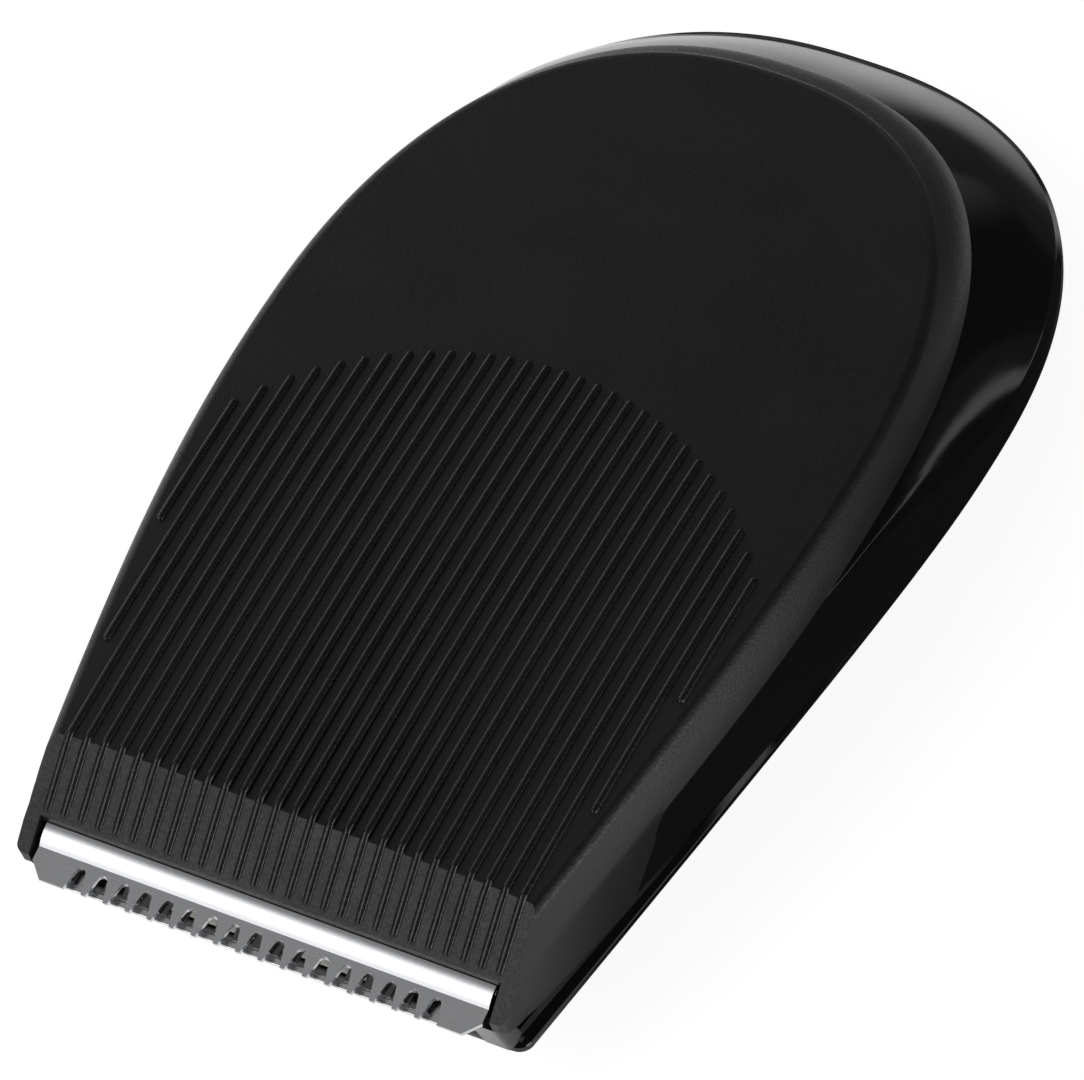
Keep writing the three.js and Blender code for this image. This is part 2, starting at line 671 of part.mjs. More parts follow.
const driveCoupler = () => cut(
  disc(couplerRadius, couplerFoot, couplerTop, 0, 0, 36),
  disc(socketRadius, couplerFoot - 1, couplerFoot + socketDepth, 0, 0, 6),
  disc(shaftRadius + slideGap, couplerFoot + socketDepth - 0.1, couplerTop + 1, 0, 0, 24),
);

const spindleBush = () => cut(
  join(
    disc(shaftRadius + bushWall, deckUnder, bushTop - 0.1, 0, 0, 32),
    disc(bushFlangeRadius, bushTop - bushFlange, bushTop, 0, 0, 32),
  ),
  disc(shaftRadius + slideGap, deckUnder - 1, bushTop + 1, 0, 0, 24),
);

// The fork stays clear of the crank pin all the way round, wherever the lever stands.
const leverTravelAtFork = crankThrow;
const forkHalfGap = crankPinRadius + crankThrow + leverTravelAtFork + 0.1;

function driveLever() {
  const outer = forkHalfGap + forkArmWidth;
  const fork = new THREE.Shape();
  fork.moveTo(-leverArmWidth / 2, pivotAt);
  fork.lineTo(-outer, -forkHalfGap - forkArmWidth);
  fork.lineTo(-outer, forkReach);
  fork.lineTo(-forkHalfGap, forkReach);
  fork.lineTo(-forkHalfGap, -crankThrow);
  fork.absarc(0, -crankThrow, forkHalfGap, Math.PI, 2 * Math.PI, false);
  fork.lineTo(forkHalfGap, forkReach);
  fork.lineTo(outer, forkReach);
  fork.lineTo(outer, -forkHalfGap - forkArmWidth);
  fork.lineTo(leverArmWidth / 2, pivotAt);
  const hub = disc(leverHubRadius, leverUnder, leverTop, 0, pivotAt, 32);
  const low = carrierBottom + 0.3;
  const side = polygon(
    [pivotAt, leverUnder], [pivotAt, leverTop], [leverStepStart - 1, leverTop],
    [leverStepEnd - 0.6, low + fingerThickness], [fingerTip, low + fingerThickness], [fingerTip, low],
    [leverStepEnd, low], [leverStepStart, leverUnder],
  );
  const arm = new THREE.Shape();
  arm.moveTo(-leverArmWidth / 2, pivotAt);
  arm.lineTo(-leverArmWidth / 2, leverStepStart);
  arm.lineTo(-fingerNeck / 2, leverStepEnd);
  arm.lineTo(-fingerNeck / 2, fingerTip + fingerWidth);
  arm.absarc(0, fingerTip + fingerWidth / 2, fingerWidth / 2, Math.PI - 0.75, 2 * Math.PI + 0.75, false);
  arm.lineTo(fingerNeck / 2, fingerTip + fingerWidth);
  arm.lineTo(fingerNeck / 2, leverStepEnd);
  arm.lineTo(leverArmWidth / 2, leverStepStart);
  arm.lineTo(leverArmWidth / 2, pivotAt);
  const front = sideView(side, -leverArmWidth, leverArmWidth).intersect(plan(arm, 0, crownHeight, 5));
  const body = join(plan(fork, leverUnder, leverTop, 12), hub, front);
  return cut(body, disc(pivotPinRadius + slideGap, 0, crownHeight, 0, pivotAt, 24));
}

const clipAt = leverTop + slideGap * 2;
const pinTop = clipAt + clipThickness + 0.3;
const pinFoot = deckUnder;

const pivotPin = () => cut(
  disc(pivotPinRadius, pinFoot, pinTop, 0, pivotAt, 24),
  tube(pivotPinRadius + 1, pivotPinRadius - 0.3, clipAt - 0.02, clipAt + clipThickness + 0.06, 0, pivotAt, 24),
);

function pivotClip() {
  const ringBody = tube(clipRadius, pivotPinRadius - 0.2, clipAt, clipAt + clipThickness, 0, pivotAt, 24);
  const mouth = box(-0.9, 0.9, pivotAt, pivotAt + clipRadius + 1, 0, crownHeight);
  return cut(ringBody, mouth);
}

// ---- drive frame -----------------------------------------------------------------------------------------

const frameScrewPlaces = [
  [-frameScrewX, frameScrewFront], [frameScrewX, frameScrewFront],
  [-frameScrewX, frameScrewRear], [frameScrewX, frameScrewRear],
];
const combFlangeTop = toothTipHeight + faceLength * Math.sin(bladeTilt) + rollRadius - 0.05;
const combFlangeUnder = combFlangeTop - combSheet;
const armTop = toothTipHeight + stripBend * Math.sin(bladeTilt) - stripUnderComb() * Math.cos(bladeTilt);

// Depth of the lower strip's upper face below the comb's upper face, square to the blade.
function stripUnderComb() {
  return combSheet + slideGap + cutterSheet + slideGap;
}

function driveFrame() {
  const front = frameFront;
  const w = frameHalfWidth;
  const c = 3;
  const deck = plan(polygon(
    [-w, front], [w, front], [w, frameRear - c], [w - c, frameRear], [-w + c, frameRear], [-w, frameRear - c],
  ), deckUnder, deckTop);
  const railInner = seatBlockInner - frameRailWidth;
  const blocks = bothSides((side) => {
    const xs = (a, b) => (side > 0 ? [a, b] : [-b, -a]);
    const rail = box(...xs(railInner - 1, seatBlockInner + 0.5), seatBlockRear, front + 2.2, seatBlockFoot, deckTop);
    const block = box(...xs(seatBlockInner, seatBlockOuter), seatBlockFront, seatBlockRear + 1.2, seatBlockFoot,
      combFlangeUnder - seatGap);
    const toe = box(...xs(seatBlockInner, seatBlockOuter - 0.2), noseToeAt, seatBlockFront + 0.5, seatBlockFoot,
      armTop - stripSheet - seatGap);
    const groove = box(...xs(seatBlockInner - 1, stripHalfWidth + seatGap), noseToeAt - 1, stripRear + seatGap,
      armTop - stripSheet - seatGap, armTop + seatGap);
    const hole = disc(screwRadius + holeGap / 2, combFlangeUnder - screwLength - 0.2, combFlangeTop, side * bladeScrewX,
      bladeScrewAt, 12);
    return cut(join(rail, block, toe), groove, hole);
  });
  const bar = box(-railInner, railInner, seatBlockRear, seatBlockRear + crossBar + 0.6, seatBlockFoot,
    seatBlockFoot + crossBar);
  const post = disc(postRadius, deckUnder, leverUnder - washerThickness - slideGap * 2, 0, pivotAt, 32);
  const body = join(deck, ...blocks, bar, post);
  return cut(
    body,
    disc(shaftRadius + bushWall + seatGap / 2, 0, crownHeight, 0, 0, 32),
    disc(pivotPinRadius + slideGap, 0, crownHeight, 0, pivotAt, 24),
    ...frameScrewPlaces.map(([x, y]) => disc(screwRadius + holeGap, 0, crownHeight, x, y, 12)),
  );
}

const noseToeAt = -51.2;

// ---- blade -----------------------------------------------------------------------------------------------

// The blade's own tilted frame: origin on the tooth tips, Y up the slope, Z square out of the comb's face.
const bladeFrame = new THREE.Matrix4()
  .makeTranslation(0, toothTipAt, toothTipHeight)
  .multiply(new THREE.Matrix4().makeRotationX(bladeTilt));
const onBlade = (up, out) => new THREE.Vector3(0, up, out).applyMatrix4(bladeFrame);
const cutterTop = -(combSheet + slideGap);
const cutterUnder = cutterTop - cutterSheet;
const stripTop = -stripUnderComb();

function combGuard() {
  const root = onBlade(faceLength, 0);
  const rollAt = root.y + rollRadius;
  const rollMiddle = combFlangeTop - rollRadius;
  const inner = rollRadius - combSheet;
  const underRoot = onBlade(faceLength + combSheet, -combSheet);
  const underTip = onBlade(0, -combSheet);
  const section = new THREE.Shape();
  section.moveTo(toothTipAt, toothTipHeight);
  section.lineTo(root.x + root.y, root.z);
  section.absarc(rollAt, rollMiddle, rollRadius, Math.PI, Math.PI / 2, true);
  section.lineTo(combRear, combFlangeTop);
  section.lineTo(combRear, combFlangeUnder);
  section.lineTo(rollAt, combFlangeUnder);
  section.absarc(rollAt, rollMiddle, inner, Math.PI / 2, Math.PI, false);
  section.lineTo(underRoot.y, underRoot.z);
  section.lineTo(underTip.y, underTip.z);
  const sheet = sideView(section, -combHalfWidth, combHalfWidth, 8);
  const slots = Array.from({ length: slotCount }, (_, i) => toothSlot((i - (slotCount - 1) / 2) * slotPitch));
  const corners = bothSides((side) => plan(polygon(
    [side * (combHalfWidth + 1), toothTipAt - 1], [side * (combHalfWidth - combCornerCut - 1), toothTipAt - 1],
    [side * (combHalfWidth - combCornerCut), toothTipAt - 0.02], [side * combHalfWidth, toothTipAt + combCornerCut],
    [side * (combHalfWidth + 1), toothTipAt + combCornerCut + 1],
  ), 0, crownHeight));
  const holes = bothSides((side) => disc(screwRadius + holeGap, 0, crownHeight, side * bladeScrewX, bladeScrewAt, 16));
  return cut(sheet, ...slots, ...corners, ...holes);
}

// A slot between two teeth: round at the root, wider at the mouth.
function toothSlot(x) {
  const rootAt = toothTipAt + slotLength;
  const halfRoot = slotRootWidth / 2;
  const halfMouth = slotMouthWidth / 2;
  const past = (halfMouth - halfRoot) / slotLength;
  const shape = new THREE.Shape();
  shape.moveTo(x - halfMouth - past, toothTipAt - 1);
  shape.lineTo(x + halfMouth + past, toothTipAt - 1);
  shape.lineTo(x + halfRoot, rootAt - halfRoot);
  shape.absarc(x, rootAt - halfRoot, halfRoot, 0, Math.PI, false);
  return plan(shape, 0, crownHeight, 4);
}

// Toothed cutter, drawn flat in the blade's frame.
function movingCutter() {
  const half = ((cutterTeeth - 1) / 2) * cutterToothPitch + (cutterToothPitch - cutterGapWidth) / 2;
  const plate = box(-half, half, cutterSetBack, cutterRear, cutterUnder, cutterTop);
  const gaps = Array.from({ length: cutterTeeth - 1 }, (_, i) => {
    const x = (i - (cutterTeeth - 2) / 2) * cutterToothPitch;
    const g = cutterGapWidth / 2;
    const end = cutterSetBack + cutterToothLength;
    const shape = new THREE.Shape();
    shape.moveTo(x - g * 1.25, cutterSetBack - 1);
    shape.lineTo(x + g * 1.25, cutterSetBack - 1);
    shape.lineTo(x + g, end - g);
    shape.absarc(x, end - g, g, 0, Math.PI, false);
    return plan(shape, cutterUnder - 1, cutterTop + 1, 4);
  });
  const holes = bothSides((side) => disc(stakeRadius + seatGap, cutterUnder - 1, cutterTop + 1, side * stakeX, stakeAt, 16));
  return cut(plate, ...gaps, ...holes);
}

// The plate under the cutter: a narrow strip just behind the tooth tips, on two arms that are clamped at the rear.
function lowerStrip() {
  const a = onBlade(stripFront, stripTop);
  const b = onBlade(stripBend, stripTop);
  const under = onBlade(stripFront, stripTop - stripSheet);
  const section = polygon(
    [a.y, a.z], [b.y, b.z], [stripRear, b.z], [stripRear, b.z - stripSheet], [b.y, b.z - stripSheet],
    [under.y, under.z],
  );
  const sheet = sideView(section, -stripHalfWidth, stripHalfWidth);
  const inside = stripHalfWidth - stripArmWidth;
  const windowFront = onBlade(stripFront + stripWidth, stripTop).y;
  const opening = box(-inside, inside, windowFront, stripRear + 5, 0, crownHeight);
  const holes = bothSides((side) => disc(screwRadius + holeGap, 0, crownHeight, side * bladeScrewX, bladeScrewAt, 16));
  return cut(sheet, opening, ...holes);
}

function cutterCarrier() {
  const topGap = seatGap / 2;
  const frontTop = onBlade(carrierFrontAt, cutterUnder - topGap);
  const rearTop = onBlade(cutterRear, cutterUnder - topGap);
  const section = polygon(
    [frontTop.y, carrierBottom], [carrierRear, carrierBottom], [carrierRear, rearTop.z - 0.6], [rearTop.y, rearTop.z],
    [frontTop.y, frontTop.z],
  );
  const body = sideView(section, -carrierHalfWidth, carrierHalfWidth);
  const stakes = bothSides((side) => solid(
    new THREE.CylinderGeometry(stakeRadius, stakeRadius, cutterTop - cutterUnder + 0.5, 16)
      .rotateX(Math.PI / 2)
      .translate(side * stakeX, stakeAt, (cutterTop + cutterUnder) / 2 - 0.3)
      .applyMatrix4(bladeFrame),
  ));
  const fingerRoom = fingerWidth / 2 + seatGap;
  const slot = box(-fingerRoom, fingerRoom, fingerTip - 0.3, carrierRear + 1, 0, crownHeight);
  const lightening = bothSides((side) => {
    const inner = fingerRoom + 1.6;
    const xs = side > 0 ? [inner, stakeX - 1.4] : [-stakeX + 1.4, -inner];
    return box(...xs, frontTop.y + 1.4, carrierRear - 1, 0, carrierBottom + 0.8);
  });
  return cut(join(body, ...stakes), slot, ...lightening);
}

// A bowed leaf, low in the middle, that presses the carrier up at both ends.
function cutterSpring() {
  const low = baseFloor + seatGap;
  const high = carrierBottom - seatGap - springSheet;
  const rise = high - low;
  const radius = (springHalfSpan ** 2 + rise ** 2) / (2 * rise);
  const reach = Math.asin(springHalfSpan / radius);
  const shape = new THREE.Shape();
  shape.absarc(0, low + radius, radius, -Math.PI / 2 - reach, -Math.PI / 2 + reach, false);
  shape.absarc(0, low + radius, radius - springSheet, -Math.PI / 2 + reach, -Math.PI / 2 - reach, true);
  return frontView(shape, springAt, springAt + springWidth, 12);
}

// ---- the head --------------------------------------------------------------------------------------------

const head = new THREE.Group();
head.name = "trimmer_head";

function add(name, manifoldOrGeometry, material, parent = head) {
  const geometry = manifoldOrGeometry.isBufferGeometry ? manifoldOrGeometry : geometryOf(manifoldOrGeometry);
  const mesh = new THREE.Mesh(geometry, material);
  mesh.name = name;
  parent.add(mesh);
  return mesh;
}

const bladeGroup = new THREE.Group();
bladeGroup.applyMatrix4(bladeFrame);
head.add(bladeGroup);

add("top_cover", topCover(), matteBlack);
add("base_shell", baseShell(), glossBlack);
add("coupling_collar", couplingCollar(), matteBlack);
add("drive_frame", driveFrame(), greyPlastic);
add("comb_guard", combGuard(), bladeSteel);
add("lower_guard_strip", lowerStrip(), bladeSteel);
add("moving_cutter", movingCutter(), bladeSteel, bladeGroup);
add("cutter_carrier", cutterCarrier(), whiteAcetal);
add("cutter_spring", cutterSpring(), springSteel);
add("drive_lever", driveLever(), whiteAcetal);
add("lever_pivot_pin", pivotPin(), springSteel);
add("lever_clip", pivotClip(), springSteel);
add("lever_washer",
  tube(washerRadius - 0.4, pivotPinRadius + slideGap, leverUnder - washerThickness - slideGap, leverUnder - slideGap, 0,
    pivotAt),
  springSteel);
add("drive_spindle", spindle(), bladeSteel);
add("drive_coupler", driveCoupler(), greyPlastic);
add("spindle_bush", spindleBush(), bronze);
add("spindle_washer",
  tube(washerRadius, shaftRadius + slideGap, bushTop + slideGap, bushTop + slideGap + washerThickness), springSteel);
add("spindle_seal", tube(sealRadius, shaftRadius + slideGap, sealUnder, sealUnder + sealThickness), sealRubber);

aroundCollar((x, y) => [x, y]).forEach(([x, y], i) => {
  const fastener = add(`collar_screw_${i + 1}`, screw(collarFlange + seatDiscThickness - screwHead, true), springSteel);
  fastener.position.set(x, y, 0);
});
frameScrewPlaces.forEach(([x, y], i) => {
  const fastener = add(`frame_screw_${i + 1}`, screw(frameDeck + frameStandOff - 0.2, false), springSteel);
  fastener.position.set(x, y, deckTop + seatGap / 2 + screwHead);
});
coverScrewPlaces.forEach(([x, y], i) => {
  const fastener = add(`cover_screw_${["right", "left", "tail"][i]}`, screw(screwLength, true), springSteel);
  fastener.position.set(x, y, 0);
});
bothSides((side) => side).forEach((side, i) => {
  const word = i ? "left" : "right";
  const bladeScrew = add(`blade_screw_${word}`, screw(screwLength, false), springSteel);
  bladeScrew.position.set(side * bladeScrewX, bladeScrewAt, combFlangeTop + seatGap / 2 + screwHead);
});

head.position.set(0, -(toothTipAt + baseRim.tailAt) / 2, collarDepth);

export default head;
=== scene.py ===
"""Finished surfaces, stage and camera for a click-on precision trimmer head."""

import math

import bmesh
import bpy
from mathutils import Matrix, Vector


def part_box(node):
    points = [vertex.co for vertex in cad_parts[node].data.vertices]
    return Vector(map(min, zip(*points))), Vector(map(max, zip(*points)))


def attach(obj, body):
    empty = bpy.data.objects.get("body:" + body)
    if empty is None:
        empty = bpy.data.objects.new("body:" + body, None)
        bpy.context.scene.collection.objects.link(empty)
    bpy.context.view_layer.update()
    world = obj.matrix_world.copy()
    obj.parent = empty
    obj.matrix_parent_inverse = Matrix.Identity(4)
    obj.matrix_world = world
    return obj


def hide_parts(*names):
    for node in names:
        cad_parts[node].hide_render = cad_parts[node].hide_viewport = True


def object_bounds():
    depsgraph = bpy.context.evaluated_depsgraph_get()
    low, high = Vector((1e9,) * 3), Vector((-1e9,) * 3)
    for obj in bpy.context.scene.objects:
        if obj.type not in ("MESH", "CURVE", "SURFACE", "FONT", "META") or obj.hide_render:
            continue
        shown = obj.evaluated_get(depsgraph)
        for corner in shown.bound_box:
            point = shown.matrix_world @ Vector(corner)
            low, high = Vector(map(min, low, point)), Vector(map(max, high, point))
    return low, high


bl_info = {
    "name": "Trimmer Head",
    "version": (1, 0, 0),
    "blender": (4, 5, 0),
    "location": "View3D > Sidebar > Trimmer Head",
    "description": "Builds the finished surfaces of a precision trimmer head round its mechanical model",
    "category": "Object",
}

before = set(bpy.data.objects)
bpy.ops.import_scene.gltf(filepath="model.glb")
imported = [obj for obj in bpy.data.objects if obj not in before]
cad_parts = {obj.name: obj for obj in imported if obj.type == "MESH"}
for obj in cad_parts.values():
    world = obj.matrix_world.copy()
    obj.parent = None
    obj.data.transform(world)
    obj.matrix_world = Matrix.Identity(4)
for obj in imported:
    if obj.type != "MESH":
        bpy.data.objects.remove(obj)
cad_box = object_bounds()

MM = 0.001
QUARTER = math.pi / 2

# Places that the mechanical model fixes, in metres.
COVER_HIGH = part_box("top_cover")[1]
BASE_LOW, BASE_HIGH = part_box("base_shell")
COLLAR_LOW, COLLAR_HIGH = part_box("coupling_collar")
COMB_LOW, COMB_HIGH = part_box("comb_guard")
CUTTER_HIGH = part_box("moving_cutter")[1]
DRIVE_AT = (COLLAR_LOW.y + COLLAR_HIGH.y) / 2
RIM_AT = BASE_LOW.z

# Pieces are shaped in millimetres from the drive axis and the rim plane, then set into the model.
INTO_MODEL = Matrix.Translation((0.0, DRIVE_AT, RIM_AT)) @ Matrix.Scale(MM, 4)


def along(value):
    """How far a model coordinate lies behind the drive axis, in millimetres."""
    return (value - DRIVE_AT) / MM


def above(value):
    """How far a model coordinate lies above the rim plane, in millimetres."""
    return (value - RIM_AT) / MM


# ---- sizes and colours that a user would change ---------------------------------------------------------


def length(name, description, default_mm):
    default = default_mm * MM
    return bpy.props.FloatProperty(
        name=name, description=description, default=default, min=0.0, unit="LENGTH", subtype="DISTANCE"
    )


def tint(name, description, default):
    return bpy.props.FloatVectorProperty(
        name=name, description=description, default=default, size=3, min=0.0, max=1.0, subtype="COLOR"
    )


class TrimmerBodySizes(bpy.types.PropertyGroup):
    crown_height: length("Crown height", "Highest point of the cover above the rim", 12.26)
    cover_wall: length("Cover wall", "Wall thickness of the cover", 1.3)
    edge_round: length("Edge rounding", "Rounding between the crown and the side wall", 0.85)
    rib_pitch: length("Rib pitch", "Distance between two finger ribs", 1.4)
    rib_width: length("Rib width", "Width of a finger rib", 0.66)
    rib_height: length("Rib height", "Height of a finger rib above the crown", 0.28)
    parting_gap: length("Parting gap", "Gap between the cover and the base", 0.25)


class TrimmerBladeSizes(bpy.types.PropertyGroup):
    comb_sheet: length("Comb sheet", "Sheet thickness of the comb", 0.3)
    slot_pitch: length("Slot pitch", "Distance between two slots of the comb", 1.79)
    cutter_pitch: length("Cutter pitch", "Distance between two teeth of the cutter", 1.5)
    edge_break: length("Edge break", "Rounding of the sheet edges", 0.1)


class TrimmerFinish(bpy.types.PropertyGroup):
    cover_colour: tint("Cover colour", "Matte plastic of the cover", (0.011, 0.011, 0.0114))
    base_colour: tint("Base colour", "Gloss plastic of the base", (0.0045, 0.0045, 0.005))
    steel_colour: tint("Blade steel", "Polished steel of the blade", (0.72, 0.73, 0.75))
    spring_colour: tint("Spring steel", "Steel of springs, pins and screws", (0.5, 0.5, 0.52))
    acetal_colour: tint("Slide plastic", "Plastic of the lever and the slide", (0.78, 0.76, 0.7))
    frame_colour: tint("Frame plastic", "Plastic of the drive frame", (0.22, 0.23, 0.245))
    bronze_colour: tint("Bronze", "Sintered bronze of the bearing", (0.5, 0.29, 0.1))
    rubber_colour: tint("Seal rubber", "Rubber of the spindle seal", (0.02, 0.02, 0.021))


# ---- shader maths ----------------------------------------------------------------------------------------


class Wire:
    """A shader socket that takes part in Python arithmetic."""

    def __init__(self, tree, socket):
        self.tree = tree
        self.socket = socket

    def node(self, kind, settings=None, inputs=None, output=0):
        """Adds a node: its settings first, then the values or wires of its sockets."""
        made = self.tree.nodes.new(kind)
        for name, value in (settings or {}).items():
            setattr(made, name, value)
        for name, value in (inputs or {}).items():
            if isinstance(value, Wire):
                self.tree.links.new(value.socket, made.inputs[name])
            else:
                made.inputs[name].default_value = value
        return Wire(self.tree, made.outputs[output] if made.outputs else None)

    def math(self, operation, *values):
        return self.node("ShaderNodeMath", {"operation": operation}, dict(enumerate(values)))

    def __add__(self, other):
        return self.math("ADD", self, other)

    __radd__ = __add__

    def __mul__(self, other):
        return self.math("MULTIPLY", self, other)

    __rmul__ = __mul__

    def __sub__(self, other):
        return self.math("SUBTRACT", self, other)

    def __rsub__(self, other):
        return self.math("SUBTRACT", other, self)

    def clamped(self):
        return self.node("ShaderNodeClamp", {}, {"Value": self})

    def between(self, low, high):
        """0 below low, 1 above high and smooth in between."""
        span = {"Value": self, "From Min": low, "From Max": high}
        return self.node("ShaderNodeMapRange", {"interpolation_type": "SMOOTHSTEP"}, span)

    def facing(self, axis):
        """1 where this direction points along axis, 0 square to it."""
        vectors = {0: self, 1: Vector(axis).normalized()}
        return self.node("ShaderNodeVectorMath", {"operation": "DOT_PRODUCT"}, vectors, 1)

    def mix(self, low, high):
        """A colour between two colours, by this value; 6, 7 and 2 are the node's colour sockets."""
        colours = {"Factor": self, 6: (*low, 1.0), 7: (*high, 1.0)}
        return self.node("ShaderNodeMix", {"data_type": "RGBA"}, colours, 2)


def new_material(name):
    material = bpy.data.materials.new(name)
    material.use_nodes = True
    material.node_tree.nodes.clear()
    return material, Wire(material.node_tree, None)


def finish_material(material, wire, surface, relief, depth, strength):
    """Ends a material in a Principled shader with these values; the relief is this many millimetres deep."""
    bump = {"Height": relief, "Distance": depth * MM, "Strength": strength}
    surface["Normal"] = wire.node("ShaderNodeBump", {}, bump)
    shader = wire.node("ShaderNodeBsdfPrincipled", {}, surface)
    wire.node("ShaderNodeOutputMaterial", {}, {"Surface": shader})
    return material


def shaded(colour, factor):
    return tuple(channel * factor for channel in colour)


def own_place(wire):
    """The place on the object, in its own coordinates, which stay with it at every pose."""
    return wire.node("ShaderNodeTexCoord", output=3)


def grain(wire, per_mm, detail=2.0, stretch=(1.0, 1.0, 1.0)):
    """Noise with this many blotches in a millimetre, more of them along an axis whose stretch is over 1."""
    spread = [axis * per_mm / MM for axis in stretch]
    sized = wire.node("ShaderNodeMapping", {}, {"Vector": own_place(wire), "Scale": spread})
    return wire.node("ShaderNodeTexNoise", {}, {"Vector": sized, "Scale": 1.0, "Detail": detail})


def matte_plastic(name, colour, roughness=0.44, depth=0.022):
    """Spark-textured moulding: a fine even grain, a little uneven in gloss."""
    material, wire = new_material(name)
    spark = grain(wire, per_mm=5.0, detail=1.0)
    cloud = grain(wire, per_mm=0.12)
    smoothest = roughness - 0.08
    surface = {
        "Base Color": cloud.mix(shaded(colour, 0.9), shaded(colour, 1.1)),
        "Roughness": cloud.between(0.3, 0.7) * 0.06 + spark.between(0.35, 0.65) * 0.1 + smoothest,
    }
    return finish_material(material, wire, surface, spark, depth, strength=1.0)


def gloss_plastic(name, colour):
    """Polished moulding with a faint waviness and a few handling marks."""
    material, wire = new_material(name)
    wave = grain(wire, per_mm=0.08, detail=1.0)
    marks = grain(wire, per_mm=0.5, detail=3.0, stretch=(1.0, 0.3, 1.0))
    surface = {
        "Base Color": marks.mix(shaded(colour, 0.92), shaded(colour, 1.15)),
        "Roughness": marks.between(0.45, 0.8) * 0.07 + 0.09,
    }
    return finish_material(material, wire, surface, wave, depth=0.02, strength=0.3)


def polished_steel(name, colour, roughness, lay=(0.15, 6.0, 6.0)):
    """Ground and polished steel: fine scratches along the lay, a little uneven in gloss."""
    material, wire = new_material(name)
    scratches = grain(wire, per_mm=4.0, stretch=lay)
    cloud = grain(wire, per_mm=0.4)
    surface = {
        "Base Color": cloud.mix(shaded(colour, 0.94), colour),
        "Metallic": 1.0,
        "Roughness": scratches.between(0.3, 0.75) * 0.05 + roughness,
    }
    return finish_material(material, wire, surface, scratches, depth=0.002, strength=0.2)


def slide_plastic(name, colour):
    """Waxy natural acetal, slightly mottled."""
    material, wire = new_material(name)
    mottle = grain(wire, per_mm=0.6, detail=3.0)
    surface = {
        "Base Color": mottle.mix(shaded(colour, 0.93), colour),
        "Roughness": mottle.between(0.3, 0.7) * 0.1 + 0.35,
        "Subsurface Weight": 0.1,
        "Subsurface Radius": (0.4 * MM, 0.3 * MM, 0.2 * MM),
    }
    return finish_material(material, wire, surface, mottle, depth=0.01, strength=0.3)


def sintered_bronze(name, colour):
    """Porous bronze: small dark pits in a satin ground."""
    material, wire = new_material(name)
    ground = grain(wire, per_mm=4.0).between(0.35, 0.5)
    surface = {
        "Base Color": ground.mix(shaded(colour, 0.4), colour),
        "Metallic": 1.0,
        "Roughness": 0.55 - ground * 0.2,
    }
    return finish_material(material, wire, surface, ground, depth=0.02, strength=0.6)


def seal_rubber(name, colour):
    """Dull rubber with a light bloom."""
    material, wire = new_material(name)
    bloom = grain(wire, per_mm=1.2, detail=3.0)
    surface = {
        "Base Color": bloom.mix(colour, shaded(colour, 1.8)),
        "Roughness": bloom * 0.15 + 0.7,
    }
    return finish_material(material, wire, surface, bloom, depth=0.02, strength=0.4)


# ---- mesh tools ------------------------------------------------------------------------------------------

# Cutting bodies reach this far sideways, this high, and this far past what they cut, in millimetres.
WIDE = 40.0
HIGH = 30.0
PAST = 5.0
MERGE_DISTANCE = 1e-5
SHEET_EDGE_ANGLE = math.radians(35.0)


def link_mesh(name, build):
    """A new mesh object whose faces build(bm) makes, turned outwards."""
    bm = bmesh.new()
    build(bm)
    bmesh.ops.remove_doubles(bm, verts=bm.verts, dist=MERGE_DISTANCE)
    bmesh.ops.recalc_face_normals(bm, faces=bm.faces)
    if bm.calc_volume(signed=True) < 0:
        bmesh.ops.reverse_faces(bm, faces=bm.faces)
    mesh = bpy.data.meshes.new(name)
    bm.to_mesh(mesh)
    bm.free()
    made = bpy.data.objects.new(name, mesh)
    bpy.context.scene.collection.objects.link(made)
    return made


def apply_modifiers(piece):
    """Makes what the modifiers show the piece's own mesh."""
    depsgraph = bpy.context.evaluated_depsgraph_get()
    settled = bpy.data.meshes.new_from_object(piece.evaluated_get(depsgraph))
    piece.modifiers.clear()
    worn = piece.data
    piece.data = settled
    bpy.data.meshes.remove(worn)


def carve(piece, cutters, operation="DIFFERENCE"):
    """Cuts each cutter out of the piece, or joins it on, and removes the cutter."""
    for cutter in cutters:
        change = piece.modifiers.new("carve", "BOOLEAN")
        change.object = cutter
        change.operation = operation
        change.solver = "MANIFOLD"
        apply_modifiers(piece)
        bpy.data.objects.remove(cutter)
    if not piece.data.polygons:
        raise RuntimeError(f"nothing is left of {piece.name}")
    return piece


def break_edges(piece, width, segments=2):
    """Takes the sharpness off a sheet's edges."""
    bevel = piece.modifiers.new("edges", "BEVEL")
    bevel.width = width
    bevel.segments = segments
    bevel.limit_method = "ANGLE"
    bevel.angle_limit = SHEET_EDGE_ANGLE
    apply_modifiers(piece)


def smooth(piece, angle):
    """Shades the piece smooth, with edges of more than angle degrees left sharp."""
    piece.data.shade_smooth()
    piece.data.set_sharp_from_angle(angle=math.radians(angle))
    weighted = piece.modifiers.new("weighted", "WEIGHTED_NORMAL")
    weighted.keep_sharp = True
    weighted.weight = 60  # leans the shading towards the larger faces; 50 is even
    apply_modifiers(piece)


def settle(piece, material, slot, body, *replaced):
    """Sets a finished piece into the mechanical model, gives it its material and ties it to its body."""
    piece.data.transform(INTO_MODEL)
    piece.data.materials.clear()
    piece.data.materials.append(material)
    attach(piece, body)
    if replaced:
        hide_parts(*replaced)
    return piece


